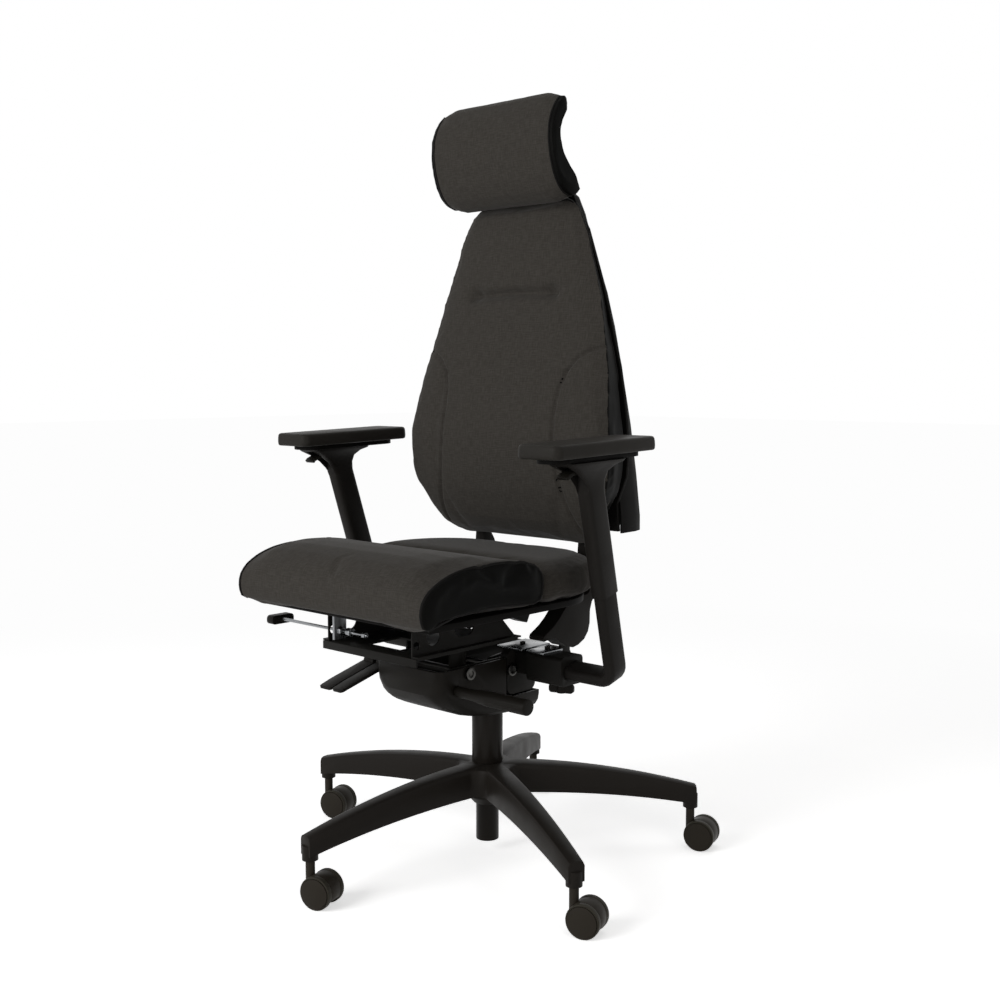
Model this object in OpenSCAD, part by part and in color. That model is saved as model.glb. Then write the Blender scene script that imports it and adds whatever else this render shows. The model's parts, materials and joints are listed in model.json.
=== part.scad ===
// Ergonomic office chair with a headrest: five-legged base, gas column, tilting mechanism,
// two-piece seat, high backrest and adjustable arms.
// Millimetres, +Z up. The origin is on the floor under the column, and the sitter faces -Y.

/* [Base] */
// Radius of the circle of caster sockets
base_r = 335; // [280:1:380]
// Width of a leg at its tip
leg_tip_w = 25; // [22:0.5:34]
// Width of a leg where it leaves the hub
leg_root_w = 41; // [34:0.5:46]
// Height of the legs' top surface at the hub
hub_top = 151; // [140:1:165]
// Height of a leg's section at its root
leg_root_h = 48; // [38:1:56]
// Drop of the top surface from hub to tip
leg_drop = 47; // [30:1:52]
// Height of a leg's section at its tip
leg_tip_h = 30; // [26:0.5:34]
// Outer diameter of the hub
hub_d = 66; // [62:1:72]
// Angle of the first leg, seen from above
leg_phase = -25.8; // [-36:0.1:36]

/* [Casters] */
// Diameter of a caster wheel over its tread
wheel_d = 50; // [46:0.5:54]
// Width over both wheels of a caster
caster_w = 45; // [42:0.5:50]
// Diameter of the stem that plugs into the leg
stem_d = 11; // [10:0.1:12]
// Distance from the stem's axis back to the axle
caster_trail = 20; // [18:0.5:24]
// Direction in which the wheels trail, seen from above
trail_angle = 17.6; // [-180:0.1:180]

/* [Gas column] */
// Diameter of the outer tube above the base
column_d = 50; // [46:0.5:52]
// Diameter of the outer tube below the base
column_foot_d = 37; // [34:0.5:40]
// Height of the outer tube's top end
column_top = 236; // [220:1:240]
// Diameter of the sliding gas cylinder
cylinder_d = 28; // [26:0.5:30]
// Diameter of the piston rod
rod_d = 10; // [8:0.5:12]

/* [Mechanism] */
// Width of the bottom cover
cover_w = 144; // [134:1:150]
// Lowest height of the bottom cover
cover_low = 241; // [241:1:250]
// Height of the housing's top edge
housing_top = 336; // [330:0.5:340]
// Reach of the cover in front of the column
cover_front = 181; // [165:1:184]
// Reach of the cover behind the column
cover_rear = 44; // [40:1:50]
// Sheet and moulding thickness of the mechanism
mech_wall = 3; // [2:0.5:4]
// Diameter of the pivot shafts
shaft_d = 12; // [10:0.5:14]
// Distance of the seat pivot in front of the column
seat_pivot_y = 117; // [110:1:125]
// Height of the seat pivot
seat_pivot_z = 326; // [320:1:328]
// Distance of the back pivot in front of the column
back_pivot_y = 22; // [20:1:34]
// Height of the back pivot
back_pivot_z = 316; // [306:1:320]

/* [Seat] */
// Half of the seat's width over the cushions
seat_half_w = 204; // [190:1:225]
// Height of the seat board's underside
board_z = 429; // [426:1:434]
// Thickness of the moulded seat boards
board_t = 10; // [8:0.5:12]
// Distance of the front cushion's nose in front of the column
seat_front = 338; // [320:1:350]
// Distance of the joint between the two cushions in front of the column
seat_split = 92; // [80:1:100]
// Distance of the rear cushion's edge behind the column
seat_rear = 101; // [90:1:104]
// Height of the front cushion's roll over the seat board
front_roll_h = 86; // [70:1:90]
// Thickness of the rear cushion over the seat board
rear_pad_h = 62; // [45:1:66]
// Distance between the webs of the two side plates
plate_gap = 180; // [170:1:190]
// Height of the side plates' flange
flange_z = 376.5; // [374:0.5:382]

/* [Backrest] */
// Height of the backrest cushion's top edge
back_top = 1050; // [1020:1:1056]
// Height of the backrest cushion's bottom edge
back_low = 509; // [505:1:530]
// Half of the cushion's greatest width
back_half_w = 214; // [190:1:225]
// Half of the shell's width at its foot
shell_half_w = 192; // [170:1:198]
// Width of an upright arm of the back frame
back_arm_w = 30; // [24:1:32]
// Distance between the middles of the two back arms
back_arm_gap = 226; // [215:1:240]

/* [Headrest] */
// Half of the headrest's width
head_half_w = 129; // [110:1:150]
// Height of the headrest's lower edge
head_low = 1040; // [1034:1:1060]
// Height of the headrest's cushion
head_h = 162; // [140:1:176]
// Depth of the headrest's cushion at its fullest
head_t = 69; // [60:1:72]

/* [Armrests] */
// Distance from the middle of the chair to the middle of an arm pad
pad_x = 264; // [252:0.5:272]
// Width of an arm pad
pad_w = 78; // [74:1:92]
// Length of an arm pad
pad_l = 228; // [210:1:260]
// Thickness of an arm pad
pad_t = 20; // [17:0.5:24]
// Height of an arm pad's underside at its middle
pad_z = 667; // [655:1:680]
// Slope of an arm pad, higher at the rear
pad_slope = 1.66; // [0:0.01:3]
// Lean of the arm's sleeve from upright
sleeve_lean = 15.8; // [12:0.1:18]
// Width of the sleeve across the chair
sleeve_w = 25; // [24:0.5:30]
// Depth of the sleeve along the chair
sleeve_d = 41; // [39:0.5:46]
// Height of the horizontal arm tube's axis
arm_bar_z = 325; // [322:1:328]

/* [Hidden] */
$fn = 48;
// Overrun of a cut past the face that it opens
over = 1;
// Radial clearance of a running fit
fit = 0.05;
// Gap between pieces that move past each other
gap = 0.4;
// Number of legs and casters
leg_count = 5;

// Loft through equal rings of points. Rings run anticlockwise seen from the last ring.
module loft(rings) {
    n = len(rings[0]);
    m = len(rings);
    polyhedron(
        points = [for (ring = rings) each ring],
        faces = concat(
            [for (j = [1 : n - 2]) [0, j, j + 1]],
            [for (j = [1 : n - 2]) [(m - 1) * n, (m - 1) * n + j + 1, (m - 1) * n + j]],
            [for (i = [0 : m - 2], j = [0 : n - 1])
                [i * n + j, (i + 1) * n + (j + 1) % n, i * n + (j + 1) % n]],
            [for (i = [0 : m - 2], j = [0 : n - 1])
                [i * n + j, (i + 1) * n + j, (i + 1) * n + (j + 1) % n]]));
}

// Straight blend between two values
function mix(a, b, t) = a + (b - a) * t;
// Smooth step from 0 to 1
function ease(t) = t <= 0 ? 0 : t >= 1 ? 1 : t * t * (3 - 2 * t);
// Value at x on a smooth curve through the pairs of a list, with x rising
function on_curve(pairs, x, i = 0) =
    x <= pairs[0][0] ? pairs[0][1]
    : x >= pairs[len(pairs) - 1][0] ? pairs[len(pairs) - 1][1]
    : x <= pairs[i + 1][0] ? bend_between(pairs, x, i)
    : on_curve(pairs, x, i + 1);
// Slope at point i of the list
function slope_at(pairs, i) =
    i == 0 ? (pairs[1][1] - pairs[0][1]) / (pairs[1][0] - pairs[0][0])
    : i == len(pairs) - 1 ? (pairs[i][1] - pairs[i - 1][1]) / (pairs[i][0] - pairs[i - 1][0])
    : (pairs[i + 1][1] - pairs[i - 1][1]) / (pairs[i + 1][0] - pairs[i - 1][0]);
// Cubic between points i and i + 1
function bend_between(pairs, x, i) =
    let (h = pairs[i + 1][0] - pairs[i][0], t = (x - pairs[i][0]) / h,
         a = pairs[i][1], b = pairs[i + 1][1], s = slope_at(pairs, i) * h, e = slope_at(pairs, i + 1) * h)
    a + s * t + (3 * (b - a) - 2 * s - e) * t * t + (s + e - 2 * (b - a)) * t * t * t;
// Ring of a rounded rectangle, w by d, corner radius r, with a number of points for each corner
function round_ring(w, d, r, steps = 3) =
    [for (q = [0 : 3], k = [0 : steps])
        let (a = 90 * q + 90 * k / steps, sx = q == 0 || q == 3 ? 1 : -1, sy = q < 2 ? 1 : -1)
        [sx * (w / 2 - r) + r * cos(a), sy * (d / 2 - r) + r * sin(a)]];

// Flat rounded rectangle with true arcs
module round_rect(w, d, r) {
    square([w - 2 * r, d], center = true);
    square([w, d - 2 * r], center = true);
    for (sx = [-1, 1], sy = [-1, 1]) translate([sx * (w / 2 - r), sy * (d / 2 - r)]) circle(r);
}
// Cylinder along X, centred
module bar_x(d, l) { rotate([0, 90, 0]) cylinder(d = d, h = l, center = true); }
// Side profile in Y and Z, drawn as a flat outline and given a width along X, centred
module across(w) { rotate([90, 0, 90]) linear_extrude(w, center = true) children(); }
// Repeats a left-hand piece on the right side
module both_sides() { children(); mirror([1, 0, 0]) children(); }

// Base values
hub_low = 96;
hub_foot_h = 12;
hub_foot_d = 46;
hub_slope = 2.5;
leg_over = 8;
leg_round = 7;
corner_share = 0.3;
leg_rib = 3;
leg_wall = 6;
socket_drop = 7;
socket_d = 24;
socket_depth = 34;
leg_tip_top = hub_top - leg_drop;
leg_tip_low = leg_tip_top - leg_tip_h;
socket_low = leg_tip_low - socket_drop;
leg_end = base_r + leg_over;
leg_start = column_foot_d / 2 + leg_rib;
leg_pocket_start = hub_d / 2 + leg_rib;
leg_pocket_end = base_r - socket_d / 2 - leg_rib;
leg_pockets = 4;

function leg_top(r) = hub_top - leg_drop * pow(r / leg_end, 2);
leg_sweep = 2.3;
function leg_low(r) = hub_top - leg_root_h - (hub_top - leg_root_h - leg_tip_low) * pow(r / leg_end,
        leg_sweep);
function leg_half(r) = mix(leg_root_w, leg_tip_w, min(1, r / leg_end)) / 2;
function leg_ring(r) =
    let (w = leg_half(r), t = leg_top(r), b = leg_low(r), c = leg_round, k = leg_round * corner_share)
    [[r, -w, b], [r, w, b], [r, w, t - c], [r, w - k, t - k], [r, w - c, t], [r, c - w, t],
     [r, k - w, t - k], [r, -w, t - c]];

module star_leg() {
    leg_steps = 12;
    loft([for (i = [0 : leg_steps]) leg_ring(mix(leg_start, leg_end, i / leg_steps))]);
    translate([base_r, 0, socket_low]) cylinder(d = socket_d, h = leg_tip_h / 2 + socket_drop);
}
// Ribbed hollow under the leg
module leg_hollow() {
    for (k = [0 : leg_pockets - 1])
        let (cell = (leg_pocket_end - leg_pocket_start) / leg_pockets,
             r0 = leg_pocket_start + cell * k, r1 = r0 + cell - leg_rib,
             w0 = leg_half(r0) - leg_rib, w1 = leg_half(r1) - leg_rib)
        translate([0, 0, socket_low]) linear_extrude(leg_top(r1) - leg_wall - leg_rib - socket_low)
            polygon([[r0, -w0], [r1, -w1], [r1, w1], [r0, w0]]);
}
// Web that rounds the corner between a leg and the next, just inside their faces
web_r = 22;
web_in = 0.5;
web_steps = 6;
web_root = 20;
function web_ring(inset, z) =
    let (half = 180 / leg_count, w = leg_half(leg_pocket_start + web_r) - web_in,
         c = (w + web_r) / sin(half))
    concat([[web_root, 0, z]],
           [for (j = [0 : web_steps]) let (a = 180 + mix(90 - half, half - 90, j / web_steps))
               [c + (web_r + inset) * cos(a), (web_r + inset) * sin(a), z]]);
module leg_web() {
    top = leg_top(leg_pocket_start + web_r) - web_in;
    loft([web_ring(0, hub_top - leg_root_h + over), web_ring(0, top - leg_round),
          web_ring(leg_round * corner_share, top - leg_round * corner_share), web_ring(leg_round, top)]);
}

module star_base() {
    color("#1b1917") difference() {
        union() {
            for (k = [0 : leg_count - 1]) rotate(leg_phase + 360 / leg_count * k) {
                star_leg();
                rotate(180 / leg_count) leg_web();
            }
            rotate_extrude() polygon([[0, hub_low - hub_foot_h], [hub_foot_d / 2, hub_low - hub_foot_h],
                                      [hub_d / 2, hub_low], [hub_d / 2, hub_top - hub_slope],
                                      [column_d / 2 + hub_slope, hub_top], [0, hub_top]]);
        }
        for (k = [0 : leg_count - 1]) rotate(leg_phase + 360 / leg_count * k) leg_hollow();
        translate([0, 0, hub_low - hub_foot_h - over])
            cylinder(r = column_foot_d / 2 + fit, h = hub_top - hub_low + hub_foot_h + 2 * over);
        for (k = [0 : leg_count - 1]) rotate(leg_phase + 360 / leg_count * k)
            translate([base_r, 0, socket_low - over]) cylinder(r = stem_d / 2 + fit, h = socket_depth + over);
    }
}

// Column values
column_foot_z = 22;
tube_wall = 2;
foot_wall = 4;
bush_h = 70;
bearing_h = 5;
bearing_r_share = 0.75;
rod_flange_h = 4;
piston_h = 10;
cylinder_low = 46;
cylinder_cap = 12;
cylinder_wall = 3;
cylinder_top = 296;
rod_top = 190;
bush_low = column_top - bush_h;

module column_tube() {
    color("#0d0c0b") difference() {
        union() {
            translate([0, 0, hub_top]) cylinder(d = column_d, h = column_top - hub_top);
            translate([0, 0, column_foot_z]) cylinder(d = column_foot_d, h = hub_top - column_foot_z + over);
        }
        translate([0, 0, column_foot_z + foot_wall])
            cylinder(r = column_foot_d / 2 - tube_wall, h = column_top);
        translate([0, 0, bush_low]) cylinder(r = column_d / 2 - tube_wall, h = bush_h + over);
    }
}

module column_bush() {
    color("#2b2b2b") translate([0, 0, bush_low]) difference() {
        cylinder(r = column_d / 2 - tube_wall, h = bush_h);
        translate([0, 0, -over]) cylinder(r = cylinder_d / 2 + fit, h = bush_h + 2 * over);
    }
}

module thrust_bearing() {
    color("silver") translate([0, 0, column_foot_z + foot_wall]) difference() {
        cylinder(r = (column_foot_d / 2 - tube_wall) * bearing_r_share, h = bearing_h);
        translate([0, 0, -over]) cylinder(r = rod_d / 2, h = bearing_h + 2 * over);
    }
}

rod_low = column_foot_z + foot_wall + bearing_h;
module piston_rod() {
    color("gainsboro") {
        translate([0, 0, rod_low]) cylinder(d = rod_d, h = rod_top - rod_low);
        translate([0, 0, rod_low])
            cylinder(r = (column_foot_d / 2 - tube_wall) * bearing_r_share, h = rod_flange_h);
        translate([0, 0, rod_top - piston_h]) cylinder(r = cylinder_d / 2 - cylinder_wall - fit,
                                                       h = piston_h);
    }
}

module gas_cylinder() {
    color("#1a1a1a") difference() {
        translate([0, 0, cylinder_low]) cylinder(d = cylinder_d, h = cylinder_top - cylinder_low);
        translate([0, 0, cylinder_low - over]) cylinder(r = rod_d / 2 + fit, h = cylinder_cap + 2 * over);
        translate([0, 0, cylinder_low + cylinder_cap])
            cylinder(r = cylinder_d / 2 - cylinder_wall, h = cylinder_top - cylinder_low - 2 * cylinder_cap);
    }
}

// Caster values
hood_inset = 0.5;
hood_r = wheel_d / 2 - hood_inset;
hood_wall = 2.5;
hood_half_w = 12;
web_half_w = 3;
neck_d = 14;
neck_gap = 0.8;
axle_d = 6;
axle_z = wheel_d / 2;
tread_t = 3;
cap_recess = 1.5;
hood_open_share = 0.45;

// One caster in its own frame: stem on the Z axis, wheels trailing along +X
module hood_solid() {
    difference() {
        union() {
            translate([caster_trail, 0, axle_z]) rotate([90, 0, 0])
                cylinder(r = hood_r, h = 2 * hood_half_w, center = true);
            cylinder(d = neck_d, h = socket_low - neck_gap);
        }
        // Room for the inner part of each wheel
        for (s = [-1, 1]) translate([caster_trail, s * (web_half_w + hood_half_w), axle_z])
            rotate([90, 0, 0]) cylinder(r = hood_r - hood_wall, h = 2 * hood_half_w, center = true);
        // Lower side open, down to the floor
        translate([caster_trail - 2 * wheel_d, -wheel_d, -wheel_d])
            cube([4 * wheel_d, 2 * wheel_d, wheel_d + axle_z * (1 - hood_open_share)]);
    }
    // Web down to the axle
    translate([caster_trail, 0, axle_z]) rotate([90, 0, 0]) difference() {
        cylinder(r = axle_d, h = 2 * web_half_w, center = true);
        cylinder(r = axle_d / 2, h = 4 * web_half_w, center = true);
    }
}

module caster_at(k) {
    a = leg_phase + 360 / leg_count * k;
    translate([base_r * cos(a), base_r * sin(a), 0]) rotate(trail_angle) children();
}

module caster_hood(k) {
    color("#191715") caster_at(k) {
        difference() {
            hood_solid();
            translate([0, 0, socket_low - neck_gap - neck_d]) cylinder(d = stem_d, h = 2 * neck_d);
        }
        translate([0, 0, socket_low - neck_gap - neck_d])
            cylinder(d = stem_d, h = neck_d + neck_gap + socket_depth - over);
        translate([caster_trail, 0, axle_z]) rotate([90, 0, 0])
            cylinder(d = axle_d, h = caster_w - 4 * cap_recess, center = true);
    }
}

module caster_wheels(k) {
    color("#23211f") caster_at(k) translate([caster_trail, 0, axle_z]) for (s = [-1, 1]) scale([1, s, 1])
        rotate([-90, 0, 0]) difference() {
            union() {
                translate([0, 0, web_half_w + gap])
                    cylinder(r = hood_r - hood_wall - gap, h = hood_half_w - web_half_w);
                translate([0, 0, hood_half_w + gap])
                    cylinder(r = wheel_d / 2 - tread_t, h = caster_w / 2 - hood_half_w - gap);
            }
            translate([0, 0, -over]) cylinder(r = axle_d / 2 + fit,
                                              h = caster_w / 2 - 2 * cap_recess + over + gap);
        }
}

module caster_treads(k) {
    color("#4a4840") caster_at(k) translate([caster_trail, 0, axle_z]) for (s = [-1, 1]) scale([1, s, 1])
        rotate([-90, 0, 0]) difference() {
            translate([0, 0, hood_half_w + gap])
                cylinder(r = wheel_d / 2, h = caster_w / 2 - hood_half_w - gap - cap_recess);
            translate([0, 0, hood_half_w]) cylinder(r = wheel_d / 2 - tread_t, h = caster_w);
        }
}

// Mechanism values
sheet = 3;
housing_in = 10;
housing_half_w = cover_w / 2 - housing_in;
housing_floor = 254;
housing_front = 154;
housing_bend = 12;
channel_rise = 27;
channel_rise_y = 76;
boss_d = 48;
cheek_gap = 1;
cheek_wall = 15;
cheek_out = cover_w / 2 - cheek_gap;
cheek_in = cheek_out - cheek_wall;
cheek_front = -30;
cheek_rear = 36;
cheek_low = 276;
cheek_round = 12;
plate_t = 3;
plate_z = 350;
plate_in = 38;
plate_out = 90;
plate_front = -18;
plate_rear = 50;
cover_round = 26;
cover_step_y = -34;
cover_step_z = 273;
column_hole_d = 36;
ear_gap = 14;
ear_in = housing_half_w - sheet - ear_gap;
ear_t = 4;
ear_w = 34;
pivot_head_d = 19;
pivot_head_h = 5;
pivot_hex_d = 11;

// Lowest height of the cover at each distance in front of the column, as shares of its own depth and height
cover_keel_shares = [[-1, 0.6], [-0.9, 0.4], [-0.73, 0.24], [-0.55, 0.12], [-0.32, 0.04], [0, 0]];
cover_nose_shares = [[-1, 0.8], [-0.96, 0.94], [-0.88, 1], [1, 1]];
cover_stations_share = [0.97, 0.93, 0.86, 0.76, 0.62, 0.46, 0.28, 0.1];
cover_round_share = 0.8;
cover_h = housing_top - cover_low;
function cover_keel(y) = cover_low + cover_h * on_curve(cover_keel_shares, y / cover_front);
function cover_half(y) = cover_w / 2 * on_curve(cover_nose_shares, y / cover_front);
function cover_ring(y, inset, top) =
    let (w = cover_half(y) - inset, b = cover_keel(y) + inset,
         r = min(cover_round, (top - b) * cover_round_share))
    concat(
        [[-w, y, top]],
        [for (k = [0 : 4]) let (a = 180 + 22.5 * k) [r - w + r * cos(a), y, b + r + r * sin(a)]],
        [for (k = [0 : 4]) let (a = 270 + 22.5 * k) [w - r + r * cos(a), y, b + r + r * sin(a)]],
        [[w, y, top]]);

module mechanism_cover() {
    stations = concat([-cover_front], [for (s = cover_stations_share) -s * cover_front], [cover_rear]);
    inner = concat([for (s = cover_stations_share) mech_wall - s * cover_front], [cover_rear - mech_wall]);
    color("#1a1816") difference() {
        loft([for (i = [len(stations) - 1 : -1 : 0]) cover_ring(stations[i], 0, housing_top)]);
        loft([for (i = [len(inner) - 1 : -1 : 0]) cover_ring(inner[i], mech_wall, housing_top + over)]);
        // Rear half ends below the cheeks
        translate([-cover_w, cover_step_y, cover_step_z]) cube([2 * cover_w, cover_w, cover_w]);
        translate([0, 0, cover_low - over]) cylinder(d = column_hole_d, h = mech_wall + 2 * over);
        translate([0, -seat_pivot_y, seat_pivot_z]) bar_x(pivot_head_d + 2 * gap, 2 * cover_w);
        side_bores();
    }
}

// Cross section of the channel, open at the top
module channel_section(half_w, low, top) {
    b = housing_bend;
    polygon([[-half_w, top], [-half_w, low + b], [b - half_w, low],
             [half_w - b, low], [half_w, low + b], [half_w, top]]);
}
// Bores for the handle's shank on the near side and for the paddles' tube on the far side
module side_bores() {
    translate([cover_w / 2, handle_y, handle_z]) bar_x(handle_shank_d + 2 * fit, cover_w / 2);
    translate([-cover_w / 2, paddle_y, paddle_z]) bar_x(paddle_tube_d + 2 * fit, cover_w / 2);
}

module mechanism_housing() {
    run = housing_front + cheek_front;
    color("#141312") difference() {
        union() {
            difference() {
                union() {
                    // Pressed channel with its lower corners bent in
                    translate([0, cheek_front, 0]) rotate([90, 0, 0]) linear_extrude(run)
                        channel_section(housing_half_w, housing_floor, housing_top);
                    // Rear cheeks that carry the back pivot and the arm brackets
                    translate([0, (cheek_front + cheek_rear) / 2, (cheek_low + plate_z - plate_t) / 2])
                        across(2 * cheek_out)
                        round_rect(cheek_rear - cheek_front, plate_z - plate_t - cheek_low, cheek_round);
                }
                translate([0, cheek_front + over, 0]) rotate([90, 0, 0]) linear_extrude(run + over - sheet)
                    channel_section(housing_half_w - sheet, housing_floor + sheet, housing_top + over);
                translate([-cheek_in, cheek_front - over, cheek_low + sheet])
                    cube([2 * cheek_in, cheek_rear - cheek_front + 2 * over, plate_z]);
                // The front of the channel follows the rising cover
                translate([0, -channel_rise_y, housing_floor]) rotate([-channel_rise, 0, 0])
                    translate([-cover_w, -2 * housing_front, -housing_front])
                    cube([2 * cover_w, 2 * housing_front, housing_front]);
            }
            // Tapered seat for the gas cylinder
            translate([0, 0, housing_floor]) cylinder(d = boss_d, h = cylinder_top - housing_floor);
        }
        translate([0, 0, housing_floor - over]) cylinder(r = cylinder_d / 2 + fit, h = cylinder_top);
        translate([0, -seat_pivot_y, seat_pivot_z]) bar_x(shaft_d + 2 * fit, 2 * cover_w);
        translate([0, -back_pivot_y, back_pivot_z]) bar_x(shaft_d + 2 * fit, 2 * cover_w);
        side_bores();
    }
}

module pivot_shafts() {
    color("silver") {
        for (p = [[-seat_pivot_y, seat_pivot_z, cover_w / 2], [-back_pivot_y, back_pivot_z, cheek_out]])
            translate([0, p[0], p[1]]) {
                bar_x(shaft_d, 2 * p[2]);
                both_sides() translate([p[2] + pivot_head_h / 2, 0, 0]) difference() {
                    bar_x(pivot_head_d, pivot_head_h);
                    translate([pivot_head_h / 2, 0, 0]) bar_x(pivot_hex_d, pivot_head_h);
                }
            }
    }
}

// Coil spring that the tension handle loads, lying along the channel
spring_wire = 7;
spring_d = 34;
spring_turns = 7;
spring_y0 = -96;
spring_y1 = -36;
spring_z = housing_floor + sheet + spring_d / 2 + gap;
module tension_spring() {
    spring_sides = 6;
    spring_steps = 8;
    steps = spring_turns * spring_steps;
    rise = spring_y1 - spring_y0 - spring_wire;
    rr = (spring_d - spring_wire) / 2;
    color("dimgray") loft([for (i = [0 : steps])
        let (a = 360 * i / spring_steps, y = spring_y0 + spring_wire / 2 + rise * i / steps)
        [for (k = [0 : spring_sides - 1]) let (b = 360 * k / spring_sides, q = rr + spring_wire / 2 * cos(b))
            [q * cos(a), y + spring_wire / 2 * sin(b), spring_z + q * sin(a)]]]);
}

// Handle that sets the recline tension, on the near side
handle_y = -143;
handle_z = 303;
handle_out = 215;
handle_d = 24;
handle_neck_d = 17;
handle_neck_l = 26;
handle_round = 3;
handle_shank_d = 9;
handle_shank_in = 60;
module tension_handle() {
    l = handle_out - cover_w / 2 - gap;
    color("#1b1917") translate([cover_w / 2 + gap, handle_y, handle_z]) rotate([0, 90, 0]) {
        rotate_extrude() polygon(concat(
            [[0, 0], [handle_neck_d / 2, 0], [handle_neck_d / 2, handle_neck_l]],
            [for (t = [0.15, 0.35, 0.6, 0.85]) [mix(handle_neck_d, handle_d, ease(t)) / 2,
                                                mix(handle_neck_l, l / 2, t)]],
            [for (k = [0 : 4]) let (a = 22.5 * k)
                [handle_d / 2 - handle_round + handle_round * cos(a),
                 l - handle_round + handle_round * sin(a)]],
            [[0, l]]));
        translate([0, 0, -handle_shank_in]) cylinder(d = handle_shank_d, h = handle_shank_in + over);
    }
}

// Two paddles on the far side, the outer one's shaft inside the inner one's tube
paddle_y = -144;
paddle_z = 322;
paddle_l = 102;
paddle_t = 5;
paddle_drop = 15;
paddle_shaft_d = 8;
paddle_tube_d = 13;
paddle_boss_d = 18;
lift_paddle_w = 27;
tilt_paddle_w = 23;
paddle_gap = 4.5;
paddle_split = 3;
paddle_shaft_reach = 10;
paddle_tube_reach = 6;
tilt_paddle_x = -cover_w / 2 - paddle_gap - tilt_paddle_w / 2;
lift_paddle_x = tilt_paddle_x - paddle_split - (tilt_paddle_w + lift_paddle_w) / 2;
paddle_shaft_in = paddle_shaft_reach - housing_half_w;
paddle_tube_in = paddle_tube_reach - housing_half_w;
module paddle(x, w, shaft_d, shaft_in) {
    translate([x, paddle_y, paddle_z]) {
        bar_x(paddle_boss_d, w - paddle_t);
        rotate([paddle_drop, 0, 0]) translate([0, -paddle_l / 2, 0]) intersection() {
            translate([0, 0, -paddle_t / 2]) linear_extrude(paddle_t) round_rect(w, paddle_l, paddle_t);
            across(2 * w) polygon([[-paddle_l, -paddle_t / 2], [paddle_l, -paddle_t / 2],
                                   [paddle_l, paddle_t / 2],
                                   [-paddle_l / 4, paddle_t / 2], [-paddle_l, -paddle_t / 4]]);
        }
    }
    translate([(x + shaft_in) / 2, paddle_y, paddle_z]) bar_x(shaft_d, shaft_in - x);
}
module lift_lever() { color("#201e1c") paddle(lift_paddle_x, lift_paddle_w, paddle_shaft_d,
                                              paddle_shaft_in); }
module tilt_lever() {
    color("#201e1c") difference() {
        paddle(tilt_paddle_x, tilt_paddle_w, paddle_tube_d, paddle_tube_in);
        translate([tilt_paddle_x, paddle_y, paddle_z]) bar_x(paddle_shaft_d + 2 * fit, 4 * lift_paddle_w);
    }
}

// Arm values that the clamps need too
splay = 2.75;
pad_offset = 8;
arm_top_x = pad_x + pad_offset;
arm_top_y = -86;
plate_rise = 12;
arm_top_z = pad_z - plate_rise;
tube_w = 20;
tube_d = 36;
tube_round = 6;
tube_gap = 0.4;
tube_bend = 22;
tube_in_gap = 13;
tube_in_x = cheek_out + tube_in_gap;
tube_up = 90;
arm_drop = (arm_top_z - arm_bar_z) / cos(sleeve_lean);
arm_bar_y = arm_top_y + arm_drop * sin(sleeve_lean);
bend_turn = 90 - splay;
bend_shift = tube_bend * (cos(bend_turn) - 1);
tube_l = (arm_drop - bend_shift * sin(splay)) / cos(splay) - tube_bend * sin(bend_turn);

// Brackets on the sides of the mechanism, bored for the arm tubes
clamp_reach = 29;
clamp_w = 70;
clamp_in = cheek_out + clamp_reach;
clamp_out = clamp_in + clamp_w;
clamp_front = -18;
clamp_rear = 34;
clamp_low = 302;
clamp_beam_front = -12;
clamp_beam_rear = 28;
clamp_beam_low = 308;
clamp_round = 7;
knob_inset = 20;
knob_x = clamp_out - knob_inset;
knob_screw_d = 6;
module clamp_block(x0, x1, front, rear, low, high) {
    translate([(x0 + x1) / 2, (front + rear) / 2, (low + high) / 2]) across(x1 - x0)
        round_rect(rear - front, high - low, clamp_round);
}
module arm_clamps() {
    color("#131211") both_sides() difference() {
        union() {
            clamp_block(cheek_out, clamp_in + clamp_round, clamp_beam_front, clamp_beam_rear,
                        clamp_beam_low, plate_z - plate_t - gap);
            clamp_block(clamp_in, clamp_out, clamp_front, clamp_rear, clamp_low, plate_z - plate_t);
        }
        translate([tube_in_x - 2 * tube_gap, arm_bar_y, arm_bar_z]) rotate([sleeve_lean, 0, 0])
            rotate([90, 0, 90])
            linear_extrude(clamp_out) round_rect(tube_d + 2 * tube_gap, tube_w + 2 * tube_gap, tube_round);
        translate([knob_x, arm_bar_y, clamp_low - over])
            cylinder(r = knob_screw_d / 2 + fit, h = arm_bar_z - clamp_low);
    }
}

// Bright plates that tie the clamps to the cheeks
plate_bolt_d = 9;
plate_bolt_h = 4;
arm_plate_in = 98;
arm_plate_out = 133;
arm_plate_front = -16;
arm_plate_rear = 30;
bolt_y = 14;
module bracket_plates() {
    color("gainsboro") both_sides() {
        translate([plate_in, plate_front, plate_z - plate_t])
            cube([plate_out - plate_in, plate_rear - plate_front, plate_t]);
        translate([arm_plate_in, arm_plate_front, plate_z - plate_t])
            cube([arm_plate_out - arm_plate_in, arm_plate_rear - arm_plate_front, plate_t]);
    }
}
module bracket_bolts() {
    color("#2a2a2a") both_sides() for (x = [(plate_in + plate_out) / 2, (arm_plate_in + arm_plate_out) / 2])
        translate([x, bolt_y, plate_z]) difference() {
            cylinder(d = plate_bolt_d, h = plate_bolt_h);
            translate([0, 0, plate_bolt_h / 2]) cylinder(d = plate_bolt_d / 2, h = plate_bolt_h, $fn = 6);
        }
}

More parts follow.
